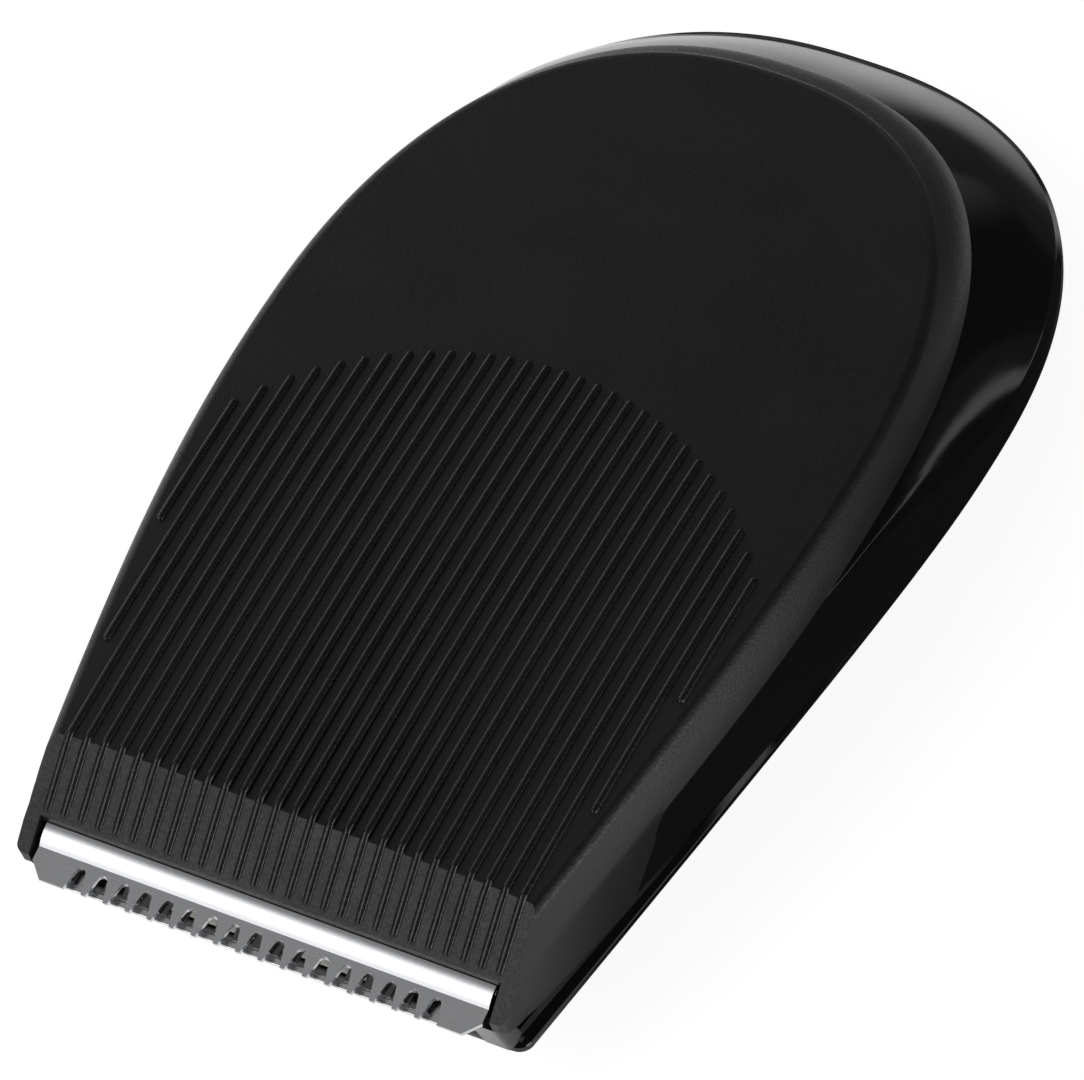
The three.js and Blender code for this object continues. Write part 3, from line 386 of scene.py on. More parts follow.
def loft(bm, rings):
    """A closed skin over rings of equal length, the first and last closed to a middle point."""
    rows = [[bm.verts.new(point) for point in ring] for ring in rings]
    count = len(rows[0])
    for low, high in zip(rows, rows[1:]):
        for i in range(count):
            j = (i + 1) % count
            bm.faces.new((low[i], low[j], high[j], high[i]))
    for row in (rows[0], rows[-1]):
        middle = bm.verts.new(sum((vert.co for vert in row), Vector()) / count)
        for i in range(count):
            bm.faces.new((row[i], row[(i + 1) % count], middle))


def prism(bm, outline, start, end, to_point):
    """An outline carried from start to end; to_point turns (a, b, depth) into a point."""
    near = [bm.verts.new(to_point(a, b, start)) for a, b in outline]
    far = [bm.verts.new(to_point(a, b, end)) for a, b in outline]
    bm.faces.new(near)
    bm.faces.new(far)
    for i in range(len(outline)):
        j = (i + 1) % len(outline)
        bm.faces.new((near[i], near[j], far[j], far[i]))


def side_view(y, z, x):
    return Vector((x, y, z))


def plan_view(x, y, z):
    return Vector((x, y, z))


def spaced(low, high, count):
    """Values from low to high in count equal steps."""
    return [low + (high - low) * i / count for i in range(count + 1)]


def cut_across(name, outline):
    """A body that cuts this side view right across the head."""
    return link_mesh(name, lambda bm: prism(bm, outline, -WIDE, WIDE, side_view))


def block(name, x0, x1, y0, y1, z0, z1):
    outline = [(x0, y0), (x1, y0), (x1, y1), (x0, y1)]
    return link_mesh(name, lambda bm: prism(bm, outline, z0, z1, plan_view))


def circle(radius, x=0.0, y=0.0, count=48):
    turns = [2 * math.pi * i / count for i in range(count)]
    return [(x + radius * math.cos(turn), y + radius * math.sin(turn)) for turn in turns]


def disc(name, radius, z0, z1, x=0.0, y=0.0, count=48):
    return link_mesh(name, lambda bm: prism(bm, circle(radius, x, y, count), z0, z1, plan_view))


# ---- outlines --------------------------------------------------------------------------------------------

# The crown is a shallow dome, highest at CROWN_AT; the nose slopes down ahead of BEVEL_START.
CROWN_AT = -10.6
CROWN_RADIUS_ALONG = 347.0
CROWN_RADIUS_ACROSS = 699.0
EDGE_DROP = 3.2
BEVEL_START = -46.6
BEVEL_SLOPE = math.tan(math.radians(36.0))
CORNER_STEPS = 6
NOSE_STEPS = 36
TAIL_STEPS = 56


class Outline:
    """A drop-shaped plan outline: a nose with parallel sides and a full, squarish tail."""

    def __init__(self, half_width, widest_at, nose, tail, slope, blend, corner):
        self.half_width = half_width
        self.widest_at = widest_at
        self.nose_at, self.parallel_at = nose
        self.tail_at, self.tail_power = tail
        self.nose_slope = slope
        self.nose_blend = blend
        self.nose_corner = corner

    def side(self, y, inset=0.0):
        """Half the width at y, ahead of the widest place."""
        ahead = self.widest_at - max(y, self.parallel_at)
        pinch = self.nose_slope * (math.hypot(ahead, self.nose_blend) - self.nose_blend)
        return self.half_width - inset - pinch

    def ring(self, inset=0.0):
        """Plan points right round the outline, moved inwards by inset."""
        front = self.nose_at + inset
        corner = self.nose_corner
        corner_at = front + corner
        corner_side = self.side(corner_at, inset)
        half = []
        for turn in spaced(0.0, QUARTER, CORNER_STEPS)[:-1]:
            half.append((corner_side - corner * (1 - math.sin(turn)), corner_at - corner * math.cos(turn)))
        half += [(self.side(y, inset), y) for y in spaced(corner_at, self.widest_at, NOSE_STEPS)[:-1]]
        width = self.half_width - inset
        reach = self.tail_at - inset - self.widest_at
        bulge = 2 / self.tail_power
        for turn in spaced(0.0, QUARTER, TAIL_STEPS)[:-1]:
            half.append((width * math.cos(turn) ** bulge, self.widest_at + reach * math.sin(turn) ** bulge))
        return half + [(0.0, self.widest_at + reach)] + [(-x, y) for x, y in reversed(half)]


def drawn_in(ring, share, middle):
    """The ring shrunk to this share of its size, about a point at middle on the centre line."""
    return [(x * share, middle + (y - middle) * share) for x, y in ring]


def mixed(ring_a, ring_b, share_of):
    """Two rings mixed point by point; share_of, a number or a function of x and y, says how far to go."""
    points = []
    for (ax, ay), (bx, by) in zip(ring_a, ring_b):
        share = share_of(ax, ay) if callable(share_of) else share_of
        points.append((lerp(ax, bx, share), lerp(ay, by, share)))
    return points


def lifted(ring, height):
    """The ring's points in space; height is a number or a function of x and y."""
    return [Vector((x, y, height(x, y) if callable(height) else height)) for x, y in ring]


def smoothstep(value, low, high):
    """0 below low, 1 above high and smooth in between."""
    share = min(max((value - low) / (high - low), 0.0), 1.0)
    return share * share * (3 - 2 * share)


def lerp(low, high, share):
    return low + (high - low) * share


CROWN_INSET = 1.1
COVER_HALF = COVER_HIGH.x / MM
COVER_TOP = Outline(
    half_width=COVER_HALF - CROWN_INSET,
    widest_at=-10.0,
    nose=(-53.9, -49.5),
    tail=(23.3, 2.35),
    slope=0.2,
    blend=25.0,
    corner=0.5,
)
COVER_EDGE = Outline(
    half_width=COVER_HALF,
    widest_at=-12.0,
    nose=(-54.1, -50.9),
    tail=(along(COVER_HIGH.y), 2.45),
    slope=0.24,
    blend=25.0,
    corner=0.5,
)
BASE_RIM = Outline(
    half_width=BASE_HIGH.x / MM,
    widest_at=4.0,
    nose=(-52.8, -52.8),
    tail=(along(BASE_HIGH.y), 2.42),
    slope=0.135,
    blend=12.0,
    corner=1.1,
)


def crown(x, y):
    """Height of the cover's dome."""
    top = bpy.context.scene.trimmer_body.crown_height / MM
    return top - x**2 / (2 * CROWN_RADIUS_ACROSS) - (y - CROWN_AT) ** 2 / (2 * CROWN_RADIUS_ALONG)


def bevel_at(y):
    """Height of the sloping nose."""
    return crown(0.0, BEVEL_START) - (BEVEL_START - y) * BEVEL_SLOPE


def lowered(drop):
    """Heights this far below the crown."""
    return lambda x, y: crown(x, y) - drop


# ---- top cover -------------------------------------------------------------------------------------------

SKIRT_BOTTOM = 2.0
SKIRT_TUCK = 0.35
# How much of the tuck is left at which share of the skirt's height.
SKIRT_TUCKS = ((1.0, 0.0), (0.55, 0.45), (0.16, 0.8))
SKIRT_FOOT = -39.8
SKIRT_LEAN = 3.5
SKIRT_CORNER = 2.2
SKIRT_CORNER_LEAN = 0.25
CORNER_CURVE_STEPS = 8
EDGE_STEPS = 40
NOTCH_HALF = 18.55
LIP_AT = -51.7
LIP_THICKNESS = 0.5
RELIEF_REAR = -44.4
LUG_SWEEP_FROM = -49.5
LUG_FOOT_RISE = 2.1
LUG_STEPS = 24
SHOULDER_DROP = 0.62
SHOULDER_BOW = 0.12
SHOULDER_STEPS = 5
ROUND_STEPS = 6
CAP_SHARES = (0.97, 0.92, 0.85, 0.75, 0.62, 0.48, 0.34, 0.2, 0.08)
COVER_SHARP_FROM = 28.0


def cover_form(name, inset, bottom, edge_round):
    """The cover's filled form with every face moved inwards by inset."""
    top = COVER_TOP.ring(inset)
    inner = COVER_TOP.ring(inset + edge_round)
    edge = COVER_EDGE.ring(inset)
    middle = (COVER_TOP.nose_at + COVER_TOP.tail_at) / 2
    shoulder_drop = edge_round * SHOULDER_DROP
    rings = []
    for tuck, rise in SKIRT_TUCKS:
        skirt = COVER_EDGE.ring(inset + SKIRT_TUCK * tuck)
        rings.append(lifted(skirt, lambda x, y: lerp(bottom, crown(x, y) - EDGE_DROP, rise)))
    rings.append(lifted(edge, lowered(EDGE_DROP + inset)))
    for share in spaced(0.0, 1.0, SHOULDER_STEPS)[1:-1]:
        ring = mixed(edge, top, share - SHOULDER_BOW * math.sin(math.pi * share))
        rings.append(lifted(ring, lowered(inset + lerp(EDGE_DROP, shoulder_drop, share))))
    for share in spaced(0.0, 1.0, ROUND_STEPS):
        rings.append(lifted(mixed(top, inner, share), lowered(inset + shoulder_drop * (1 - share) ** 2)))
    rings += [lifted(drawn_in(inner, share, middle), lowered(inset)) for share in CAP_SHARES]
    form = link_mesh(name, lambda bm: loft(bm, rings))
    drop = inset / math.cos(math.atan(BEVEL_SLOPE))
    rear = BEVEL_START + 2 * PAST
    front = COVER_EDGE.nose_at - 2 * PAST
    wedge = [(rear, bevel_at(rear) - drop), (rear, HIGH), (front, HIGH), (front, bevel_at(front) - drop)]
    return carve(form, [cut_across("wedge", wedge)])


def under_cut(name, grow):
    """What is cut away under the cover's wall behind the skirt."""
    foot = SKIRT_FOOT - grow
    knee = foot + SKIRT_LEAN

    def edge_at(y):
        return crown(COVER_EDGE.half_width, y) - EDGE_DROP + grow

    corner_end = knee + SKIRT_CORNER
    knee_top = edge_at(corner_end)
    lean_end = (knee - SKIRT_CORNER * SKIRT_CORNER_LEAN, knee_top - SKIRT_CORNER)
    outline = [(foot, SKIRT_BOTTOM - PAST), (foot, SKIRT_BOTTOM), lean_end]
    for t in spaced(0.0, 1.0, CORNER_CURVE_STEPS)[1:]:
        y = (1 - t) ** 2 * lean_end[0] + 2 * t * (1 - t) * knee + t**2 * corner_end
        z = (1 - t) ** 2 * lean_end[1] + 2 * t * (1 - t) * knee_top + t**2 * edge_at(corner_end)
        outline.append((y, z))
    tail = BASE_RIM.tail_at + PAST
    outline += [(y, edge_at(y)) for y in spaced(corner_end, tail, EDGE_STEPS)[1:]]
    outline.append((tail, SKIRT_BOTTOM - PAST))
    return cut_across(name, outline)


def lug_foot(y):
    """Height of the skirt's lower edge, which sweeps up to the feet of the lugs beside the blade."""
    share = (LUG_SWEEP_FROM - y) / (LUG_SWEEP_FROM - COVER_EDGE.nose_at)
    return SKIRT_BOTTOM + LUG_FOOT_RISE * share**2


def lug_room():
    """What is cut away under the lugs and under the sweep behind them."""
    far = COVER_EDGE.nose_at - PAST
    outline = [(LUG_SWEEP_FROM, 0.0)]
    outline += [(y, lug_foot(y)) for y in spaced(LUG_SWEEP_FROM, COVER_EDGE.nose_at, LUG_STEPS)]
    outline += [(far, lug_foot(COVER_EDGE.nose_at)), (far, 0.0)]
    return cut_across("lug_room", outline)


class TRIMMER_OT_cover(bpy.types.Operator):
    """Build the matte cover with its sloping nose and its skirt beside the blade"""

    bl_idname = "trimmer.cover"
    bl_label = "Cover"

    def execute(self, context):
        sizes = context.scene.trimmer_body
        finish = context.scene.trimmer_finish
        edge_round = sizes.edge_round / MM
        shell = cover_form("cover_shell", 0.0, SKIRT_BOTTOM, edge_round)
        front = COVER_EDGE.nose_at - PAST
        lip_under = bevel_at(LIP_AT) - LIP_THICKNESS
        carve(
            shell,
            [
                cover_form("cover_core", sizes.cover_wall / MM, SKIRT_BOTTOM - PAST, edge_round),
                under_cut("under_cut", 0.0),
                block("notch", -NOTCH_HALF, NOTCH_HALF, front, LIP_AT, 0.0, HIGH),
                block("relief", -NOTCH_HALF, NOTCH_HALF, front, RELIEF_REAR, 0.0, lip_under),
                lug_room(),
            ],
        )
        smooth(shell, COVER_SHARP_FROM)
        plastic = matte_plastic("cover_plastic", finish.cover_colour)
        settle(shell, plastic, "matte_black", "housing", "top_cover")
        return {"FINISHED"}


# ---- finger ribs -----------------------------------------------------------------------------------------

# The ribs start at the lip or at the cover's side and end on an arc over the crown.
RIB_COUNT = 31
RIB_ARC_TOP = -7.3
RIB_ARC_RADIUS = 26.0
RIB_SIDE_MARGIN = 1.4
RIB_FRONT_MARGIN = 0.2
RIB_STATIONS = 40
RIB_END_STATIONS = (0.02, 0.06, 0.12, 0.2)
RIB_END_SHARE = 0.05
RIB_SECTION = 8
RIB_SINK = 0.05
RIB_SHARP_FROM = 50.0
RIB_ROUGHNESS = 0.3
RIB_GRAIN_DEPTH = 0.012


def rib_ends(x):
    """Where the rib at x starts and ends along the head."""
    rear = RIB_ARC_TOP - (RIB_ARC_RADIUS - math.sqrt(RIB_ARC_RADIUS**2 - x**2))
    room = COVER_TOP.half_width - RIB_SIDE_MARGIN - abs(x)
    narrowing = COVER_TOP.nose_blend + room / COVER_TOP.nose_slope
    beside = COVER_TOP.widest_at - math.sqrt(narrowing**2 - COVER_TOP.nose_blend**2)
    return (LIP_AT + RIB_FRONT_MARGIN if beside < BEVEL_START else beside), rear


def rib_rings(index, sizes):
    """Cross-sections of one finger rib from front to rear: a low rounded ridge with rounded ends."""
    half_width = sizes.rib_width / MM / 2
    height = sizes.rib_height / MM
    x = (index - (RIB_COUNT - 1) / 2) * sizes.rib_pitch / MM
    front, rear = rib_ends(x)
    stations = {*spaced(front, rear, RIB_STATIONS), BEVEL_START}
    for distance in RIB_END_STATIONS:
        stations |= {front + distance, rear - distance}
    for y in sorted(station for station in stations if front <= station <= rear):
        near_end = min(y - front, rear - y)
        rise = math.sqrt(max(0.0, 1 - (1 - min(near_end / half_width, 1.0)) ** 2))
        half = half_width * max(rise, RIB_END_SHARE)
        foot = min(crown(x, y), bevel_at(y)) - RIB_SINK
        top = height * rise + RIB_SINK
        turns = spaced(0.0, math.pi, RIB_SECTION)
        yield [Vector((x + half * math.cos(turn), y, foot + top * math.sin(turn))) for turn in turns]


class TRIMMER_OT_ribs(bpy.types.Operator):
    """Build the finger ribs that run over the crown and down the sloping nose"""

    bl_idname = "trimmer.ribs"
    bl_label = "Finger ribs"

    def execute(self, context):
        sizes = context.scene.trimmer_body
        finish = context.scene.trimmer_finish

        def build(bm):
            for index in range(RIB_COUNT):
                loft(bm, list(rib_rings(index, sizes)))

        ribs = link_mesh("finger_ribs", build)
        smooth(ribs, RIB_SHARP_FROM)
        plastic = matte_plastic("rib_plastic", finish.cover_colour, RIB_ROUGHNESS, RIB_GRAIN_DEPTH)
        settle(ribs, plastic, "matte_black", "housing")
        return {"FINISHED"}


# ---- base ------------------------------------------------------------------------------------------------

BASE_FLOOR = 1.6
BASE_WALL_INSET = 3.0
CAVITY_CORNER = 0.2
CAVITY_UNDER_CREASE = 0.8
CAVITY_OVER_CROWN = 1.0
SHOULDER_INSET = 0.5
SHOULDER_WALL = 1.8
RIM_BREAK = 0.12
RIM_BREAK_FOOT = RIM_BREAK * 0.3
RIM_BREAK_HEAD = RIM_BREAK * 0.4
RIM_EDGE = 0.6
RIM_LEDGE = 0.75
RIM_LEDGE_HEIGHT = 1.0
RIM_LEDGE_SHIFT = 0.3
RIM_LEDGE_FADES_AT = -14.0
# The crease runs low round the tail and climbs to the nose between CREASE_TO and CREASE_FROM.
CREASE_FROM = -13.0
CREASE_TO = 10.0
CREASE_FRONT = 7.3
CREASE_TAIL = 2.2
CREASE_DROP_FROM = 17.0
CREASE_END = 0.4
CREASE_DRAFT = 0.05
CREASE_BLEND = 4.0
FLANK_BOW = 0.05
FLANK_BOWS_AT = (5.0, 25.0)
WALL_PARTS = (0.35, 0.7, 0.9, 0.97)
FLANK_PARTS = (0.02, 0.08, 0.15, 0.25, 0.35, 0.45, 0.55, 0.65, 0.75, 0.85, 0.93)
DECK_PARTS = (0.9, 0.75, 0.55, 0.35, 0.15)
NOSE_LIP_HEIGHT = 1.5
NOSE_LIP_LENGTH = 1.4
MOUTH_HALF = 16.2
SILL_TOP = 2.7
SILL_LENGTH = 0.8
BLADE_SEAT_REAR = -43.6
BLADE_SEAT_HEIGHT = 4.92
BLADE_SEAT_MARGIN = 1.0
POST_REAR = -51.6
POST_INSET = 0.4
POST_SEAT = 0.1
POST_SWEEP_AHEAD = 0.5
POST_CORNER_STEPS = 8
SCREW_HOLE = 0.92
SCREW_HEAD_RECESS = 1.74
SCREW_HEAD_DEPTH = 0.9
SCREW_HOLE_TOP = 3.0
SEAL_HOLE_TOP = 6.0
UNDER = -1.0
COLLAR_CLEARANCE = 0.2
COLLAR_CLEARANCE_ABOVE = 0.1
SEAL_CLEARANCE = 0.1
BASE_SHARP_FROM = 20.0
COVER_SCREWS = ("cover_screw_right", "cover_screw_left", "cover_screw_tail")


def crease_height(y):
    side = lerp(CREASE_FRONT, CREASE_TAIL, smoothstep(y, CREASE_FROM, CREASE_TO))
    return lerp(side, CREASE_END, smoothstep(y, CREASE_DROP_FROM, BASE_RIM.tail_at))


def rim_edge_height(y):
    return min(RIM_EDGE, crease_height(y) / 3)


def ledge_height(y):
    return min(RIM_LEDGE_HEIGHT, crease_height(y) * 2 / 3)


def shoulder_height(gap):
    """Height of the base's upper edge, this gap under the cover's."""
    return lambda x, y: crown(x, y) - EDGE_DROP - gap


def crease_share(gap):
    """How far from the rim towards the shoulder the crease lies."""

    def share(x, y):
        straight = crease_height(y) / shoulder_height(gap)(x, y)
        upright = smoothstep(y, CREASE_FROM - CREASE_BLEND, CREASE_FROM + CREASE_BLEND)
        return lerp(straight, CREASE_DRAFT, upright)

    return share


def rim_band():
    """The rim's outline above its ledge, which fades out from the nose to the sides."""
    band = []
    for x, y in BASE_RIM.ring():
        fade = min(max((RIM_LEDGE_FADES_AT - y) / (RIM_LEDGE_FADES_AT - BASE_RIM.nose_at), 0.0), 1.0)
        inwards = math.copysign(RIM_LEDGE * fade, x) if x else 0.0
        band.append((x - inwards, y + RIM_LEDGE_SHIFT * RIM_LEDGE_HEIGHT * fade))
    return band


def base_body(gap):
    """The base's filled form: rim, ledge, upright wall to the crease, leaning flank to the shoulder."""
    shoulder = shoulder_height(gap)
    shoulder_ring = COVER_EDGE.ring(SHOULDER_INSET)
    middle = (BASE_RIM.nose_at + BASE_RIM.tail_at) / 2
    band = rim_band()
    crease_ring = mixed(band, shoulder_ring, crease_share(gap))

    def wall(part):
        return lifted(
            mixed(band, crease_ring, part),
            lambda x, y: lerp(ledge_height(y), crease_height(y), part),
        )

    def flank(part):
        bow = FLANK_BOW * math.sin(math.pi * part)
        return lifted(
            mixed(crease_ring, shoulder_ring, lambda x, y: part - bow * smoothstep(y, *FLANK_BOWS_AT)),
            lambda x, y: lerp(crease_height(y), shoulder(x, y), part),
        )

    rings = [
        lifted(BASE_RIM.ring(RIM_BREAK), 0.0),
        lifted(BASE_RIM.ring(RIM_BREAK_FOOT), RIM_BREAK_FOOT),
        lifted(BASE_RIM.ring(), RIM_BREAK),
        lifted(BASE_RIM.ring(), lambda x, y: rim_edge_height(y) - RIM_BREAK_HEAD),
        lifted(BASE_RIM.ring(RIM_BREAK_HEAD), lambda x, y: rim_edge_height(y) + RIM_BREAK_HEAD),
        lifted(band, lambda x, y: ledge_height(y)),
    ]
    rings += [wall(part) for part in WALL_PARTS]
    rings += [flank(part) for part in FLANK_PARTS]
    rings.append(lifted(shoulder_ring, shoulder))
    rings += [lifted(drawn_in(shoulder_ring, part, middle), shoulder) for part in DECK_PARTS]
    return link_mesh("base_body", lambda bm: loft(bm, rings))


def base_cavity(gap):
    """The room inside the base's walls."""
    foot = BASE_RIM.ring(BASE_WALL_INSET)
    head = mixed(
        COVER_EDGE.ring(BASE_WALL_INSET),
        COVER_EDGE.ring(SHOULDER_INSET + SHOULDER_WALL),
        lambda x, y: smoothstep(y, CREASE_FROM, CREASE_TO),
    )
    knee = mixed(foot, head, crease_share(gap))
    rings = [
        lifted(foot, BASE_FLOOR),
        lifted(knee, lambda x, y: max(BASE_FLOOR + CAVITY_CORNER, crease_height(y) - CAVITY_UNDER_CREASE)),
        lifted(head, shoulder_height(gap)),
        lifted(head, lowered(-CAVITY_OVER_CROWN)),
    ]
    return link_mesh("cavity", lambda bm: loft(bm, rings))


def skirt_room(gap, wall, edge_round):
    """Room for the cover's skirt, with the parting gap all round it."""
    room = cover_form("skirt_room", -gap, SKIRT_BOTTOM - gap, edge_round)
    core = cover_form("skirt_core", wall + gap, SKIRT_BOTTOM - PAST, edge_round)
    return carve(room, [core, under_cut("skirt_rear", -gap)])


def nose_openings():
    """The mouth in the base's nose, with a low sill, and what is taken off above and ahead of it."""
    far = BASE_RIM.nose_at - PAST
    wide = BASE_RIM.half_width + PAST
    sill_rear = BASE_RIM.nose_at + NOSE_LIP_LENGTH
    sill_front = sill_rear - SILL_LENGTH
    sill = [(sill_front, SILL_TOP), (sill_rear, SILL_TOP)]
    mouth = [(far, BASE_FLOOR), (sill_front, BASE_FLOOR), *sill, (sill_rear, BASE_FLOOR)]
    mouth += [(BLADE_SEAT_REAR, BASE_FLOOR), (BLADE_SEAT_REAR, HIGH), (far, HIGH)]
    front = [(far, NOSE_LIP_HEIGHT), (sill_front, NOSE_LIP_HEIGHT), *sill, (sill_rear, HIGH), (far, HIGH)]
    seat_rear = BLADE_SEAT_REAR - BLADE_SEAT_MARGIN
    return [
        block("over_blade", -wide, wide, far, seat_rear, BLADE_SEAT_HEIGHT, HIGH),
        link_mesh("mouth", lambda bm: prism(bm, mouth, -MOUTH_HALF, MOUTH_HALF, side_view)),
        link_mesh("nose_front", lambda bm: prism(bm, front, -wide, wide, side_view)),
    ]


def centre_of(node):
    low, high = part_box(node)
    return (low.x + high.x) / 2 / MM, along((low.y + high.y) / 2)


def underside_holes():
    """Openings in the underside: for the collar, the spindle's seal and the cover's screws."""
    collar_radius = COLLAR_HIGH.x / MM + COLLAR_CLEARANCE
    seal_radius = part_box("spindle_seal")[1].x / MM + SEAL_CLEARANCE
    holes = [
        disc("collar_room", collar_radius, UNDER, above(COLLAR_HIGH.z) + COLLAR_CLEARANCE_ABOVE, count=128),
        disc("seal_hole", seal_radius, UNDER, SEAL_HOLE_TOP),
    ]
    for name in COVER_SCREWS:
        x, y = centre_of(name)
        holes.append(disc("screw_recess", SCREW_HEAD_RECESS, UNDER, SCREW_HEAD_DEPTH, x, y))
        holes.append(disc("screw_hole", SCREW_HOLE, UNDER, SCREW_HOLE_TOP, x, y, count=24))
    return holes


def nose_post(side):
    """A post of the base's nose, leaning forward beside the mouth, that a lug of the cover stands on."""
    front = BASE_RIM.nose_at
    lug_front = COVER_EDGE.nose_at
    lean = lug_front + POST_SEAT - front
    inner = MOUTH_HALF + POST_INSET
    outer = BASE_RIM.side(front) - POST_INSET
    corner = BASE_RIM.nose_corner
    plan = [(inner, POST_REAR), (inner, front)]
    plan += arc((outer - corner, front + corner), corner, -QUARTER, 0.0, POST_CORNER_STEPS)
    plan.append((outer, POST_REAR))
    foot = [Vector((side * x, y, 0.0)) for x, y in plan]
    head = [Vector((side * x, y + lean, lug_foot(lug_front))) for x, y in plan]
    post = link_mesh("nose_post", lambda bm: loft(bm, [foot, head]))
    ahead = lug_front - POST_SWEEP_AHEAD
    over = [(y, lug_foot(y) - POST_SEAT) for y in spaced(ahead, LUG_SWEEP_FROM, LUG_STEPS)]
    over += [(LUG_SWEEP_FROM, HIGH), (ahead, HIGH)]
    return carve(post, [cut_across("sweep", over)])


class TRIMMER_OT_base(bpy.types.Operator):
    """Build the gloss base with its rim band, creased flanks and underside recesses"""

    bl_idname = "trimmer.base"
    bl_label = "Base"

    def execute(self, context):
        sizes = context.scene.trimmer_body
        finish = context.scene.trimmer_finish
        gap = sizes.parting_gap / MM
        room = skirt_room(gap, sizes.cover_wall / MM, sizes.edge_round / MM)
        shell = base_body(gap)
        carve(shell, [base_cavity(gap), room, *nose_openings()])
        carve(shell, underside_holes())
        carve(shell, [nose_post(1), nose_post(-1)], "UNION")
        smooth(shell, BASE_SHARP_FROM)
        plastic = gloss_plastic("base_plastic", finish.base_colour)
        settle(shell, plastic, "gloss_black", "housing", "base_shell")
        return {"FINISHED"}


# ---- blade -----------------------------------------------------------------------------------------------

TIP_AT = along(COMB_LOW.y)
TIP_HEIGHT = 4.62
TILT = math.radians(14.8)
FACE_LENGTH = 2.28
FACE_STRAIGHT = 0.92
BAR_TOP = (-51.75, 6.12)
BAR_BEND = math.radians(44.0)
BAR_STEPS = 20
BAR_TO_FLANGE = 0.06
COMB_CORNER = 1.15
COMB_CORNER_STEP = 0.02
COMB_ROUGHNESS = 0.26
SLOT_COUNT = 17
SLOT_ROOT = 0.8
SLOT_MOUTH = 1.38
SLOT_LENGTH = 1.75
SLOT_ROOT_STEPS = 12
SLOT_OVERRUN = 1.0
SLIDE_GAP = 0.06
CUTTER_SHEET = 0.35
CUTTER_SET_BACK = 0.8
CUTTER_TEETH = 21
CUTTER_GAP = 0.75
CUTTER_GAP_MOUTH = CUTTER_GAP * 1.12
CUTTER_TOOTH = 1.5
CUTTER_REAR = 4.2
# The cutter's ground lies along its teeth; its steel is painted darker than the comb's polish: painted shade
# in the slots.
CUTTER_PAINTED_SHADE = 0.2
CUTTER_LAY = (6.0, 0.15, 6.0)
CUTTER_ROUGHNESS = 0.3
STAKE_X = 7.0
STAKE_AT = 3.3
STAKE_HOLE = 0.65
STRIP_FRONT = 0.28
STRIP_WIDTH = 0.5
STRIP_ARM = 2.6
STRIP_BEND = 3.2
STRIP_SHEET = 0.3
STRIP_ROUGHNESS = 0.22
BLADE_SHARP_FROM = 40.0


def on_blade(up, out):
    """Side-view point (y, z) up the blade's slope from the tooth tips and square out of it."""
    return (
        TIP_AT + up * math.cos(TILT) - out * math.sin(TILT),
        TIP_HEIGHT + up * math.sin(TILT) + out * math.cos(TILT),
    )


def blade_plan(x, up, out):
    """A point of the blade's plan, x to the right, up the slope and out of it."""
    y, z = on_blade(up, out)
    return Vector((x, y, z))


def arc(centre, radius, start, end, count):
    turns = spaced(start, end, count)
    return [(centre[0] + radius * math.cos(turn), centre[1] + radius * math.sin(turn)) for turn in turns]


def bar_arc(root, inwards):
    """Side view of the rolled bar from the root of the teeth up to the cover's lip."""
    run, rise = BAR_TOP[0] - root[0], BAR_TOP[1] - root[1]
    radius = math.hypot(run, rise) / 2 / math.sin(BAR_BEND / 2)
    start = math.atan2(rise, run) + QUARTER + BAR_BEND / 2
    centre = (root[0] - radius * math.cos(start), root[1] - radius * math.sin(start))
    return arc(centre, radius - inwards, start, start - BAR_BEND, BAR_STEPS)


def slot_outline(x, front, end, mouth, root):
    """A slot between two teeth: wide at the mouth and round at the root."""
    half = mouth / 2 + (mouth - root) / 2
    outline = [(x - half, front - SLOT_OVERRUN), (x + half, front - SLOT_OVERRUN)]
    return outline + arc((x, end - root / 2), root / 2, 0.0, math.pi, SLOT_ROOT_STEPS)


def blade_holes(name):
    """Holes for the two screws that clamp the blade."""
    return [
        disc(f"{name}_hole", SCREW_HOLE, 0.0, HIGH, *centre_of(screw), count=32)
        for screw in ("blade_screw_left", "blade_screw_right")
    ]


def comb_section(sheet):
    """Side view of the comb: the toothed face, the rolled bar and the flange behind it."""
    root = on_blade(FACE_LENGTH, 0.0)
    top = above(COMB_HIGH.z)
    rear = along(COMB_HIGH.y)
    section = [on_blade(0.0, 0.0), on_blade(FACE_LENGTH * FACE_STRAIGHT, 0.0)]
    section += bar_arc(root, 0.0)
    section += [(BAR_TOP[0] + BAR_TO_FLANGE, top), (rear, top), (rear, top - sheet)]
    section += reversed(bar_arc(root, sheet))
    return section + [on_blade(FACE_LENGTH + sheet, -sheet), on_blade(0.0, -sheet)]


def comb_corner(side, half):
    """Plan of what is cut off one front corner of the comb."""
    return [
        (side * (half + 1), TIP_AT - 1),
        (side * (half - COMB_CORNER - 1), TIP_AT - 1),
        (side * (half - COMB_CORNER), TIP_AT - COMB_CORNER_STEP),
        (side * half, TIP_AT + COMB_CORNER),
        (side * (half + 1), TIP_AT + COMB_CORNER + 1),
    ]


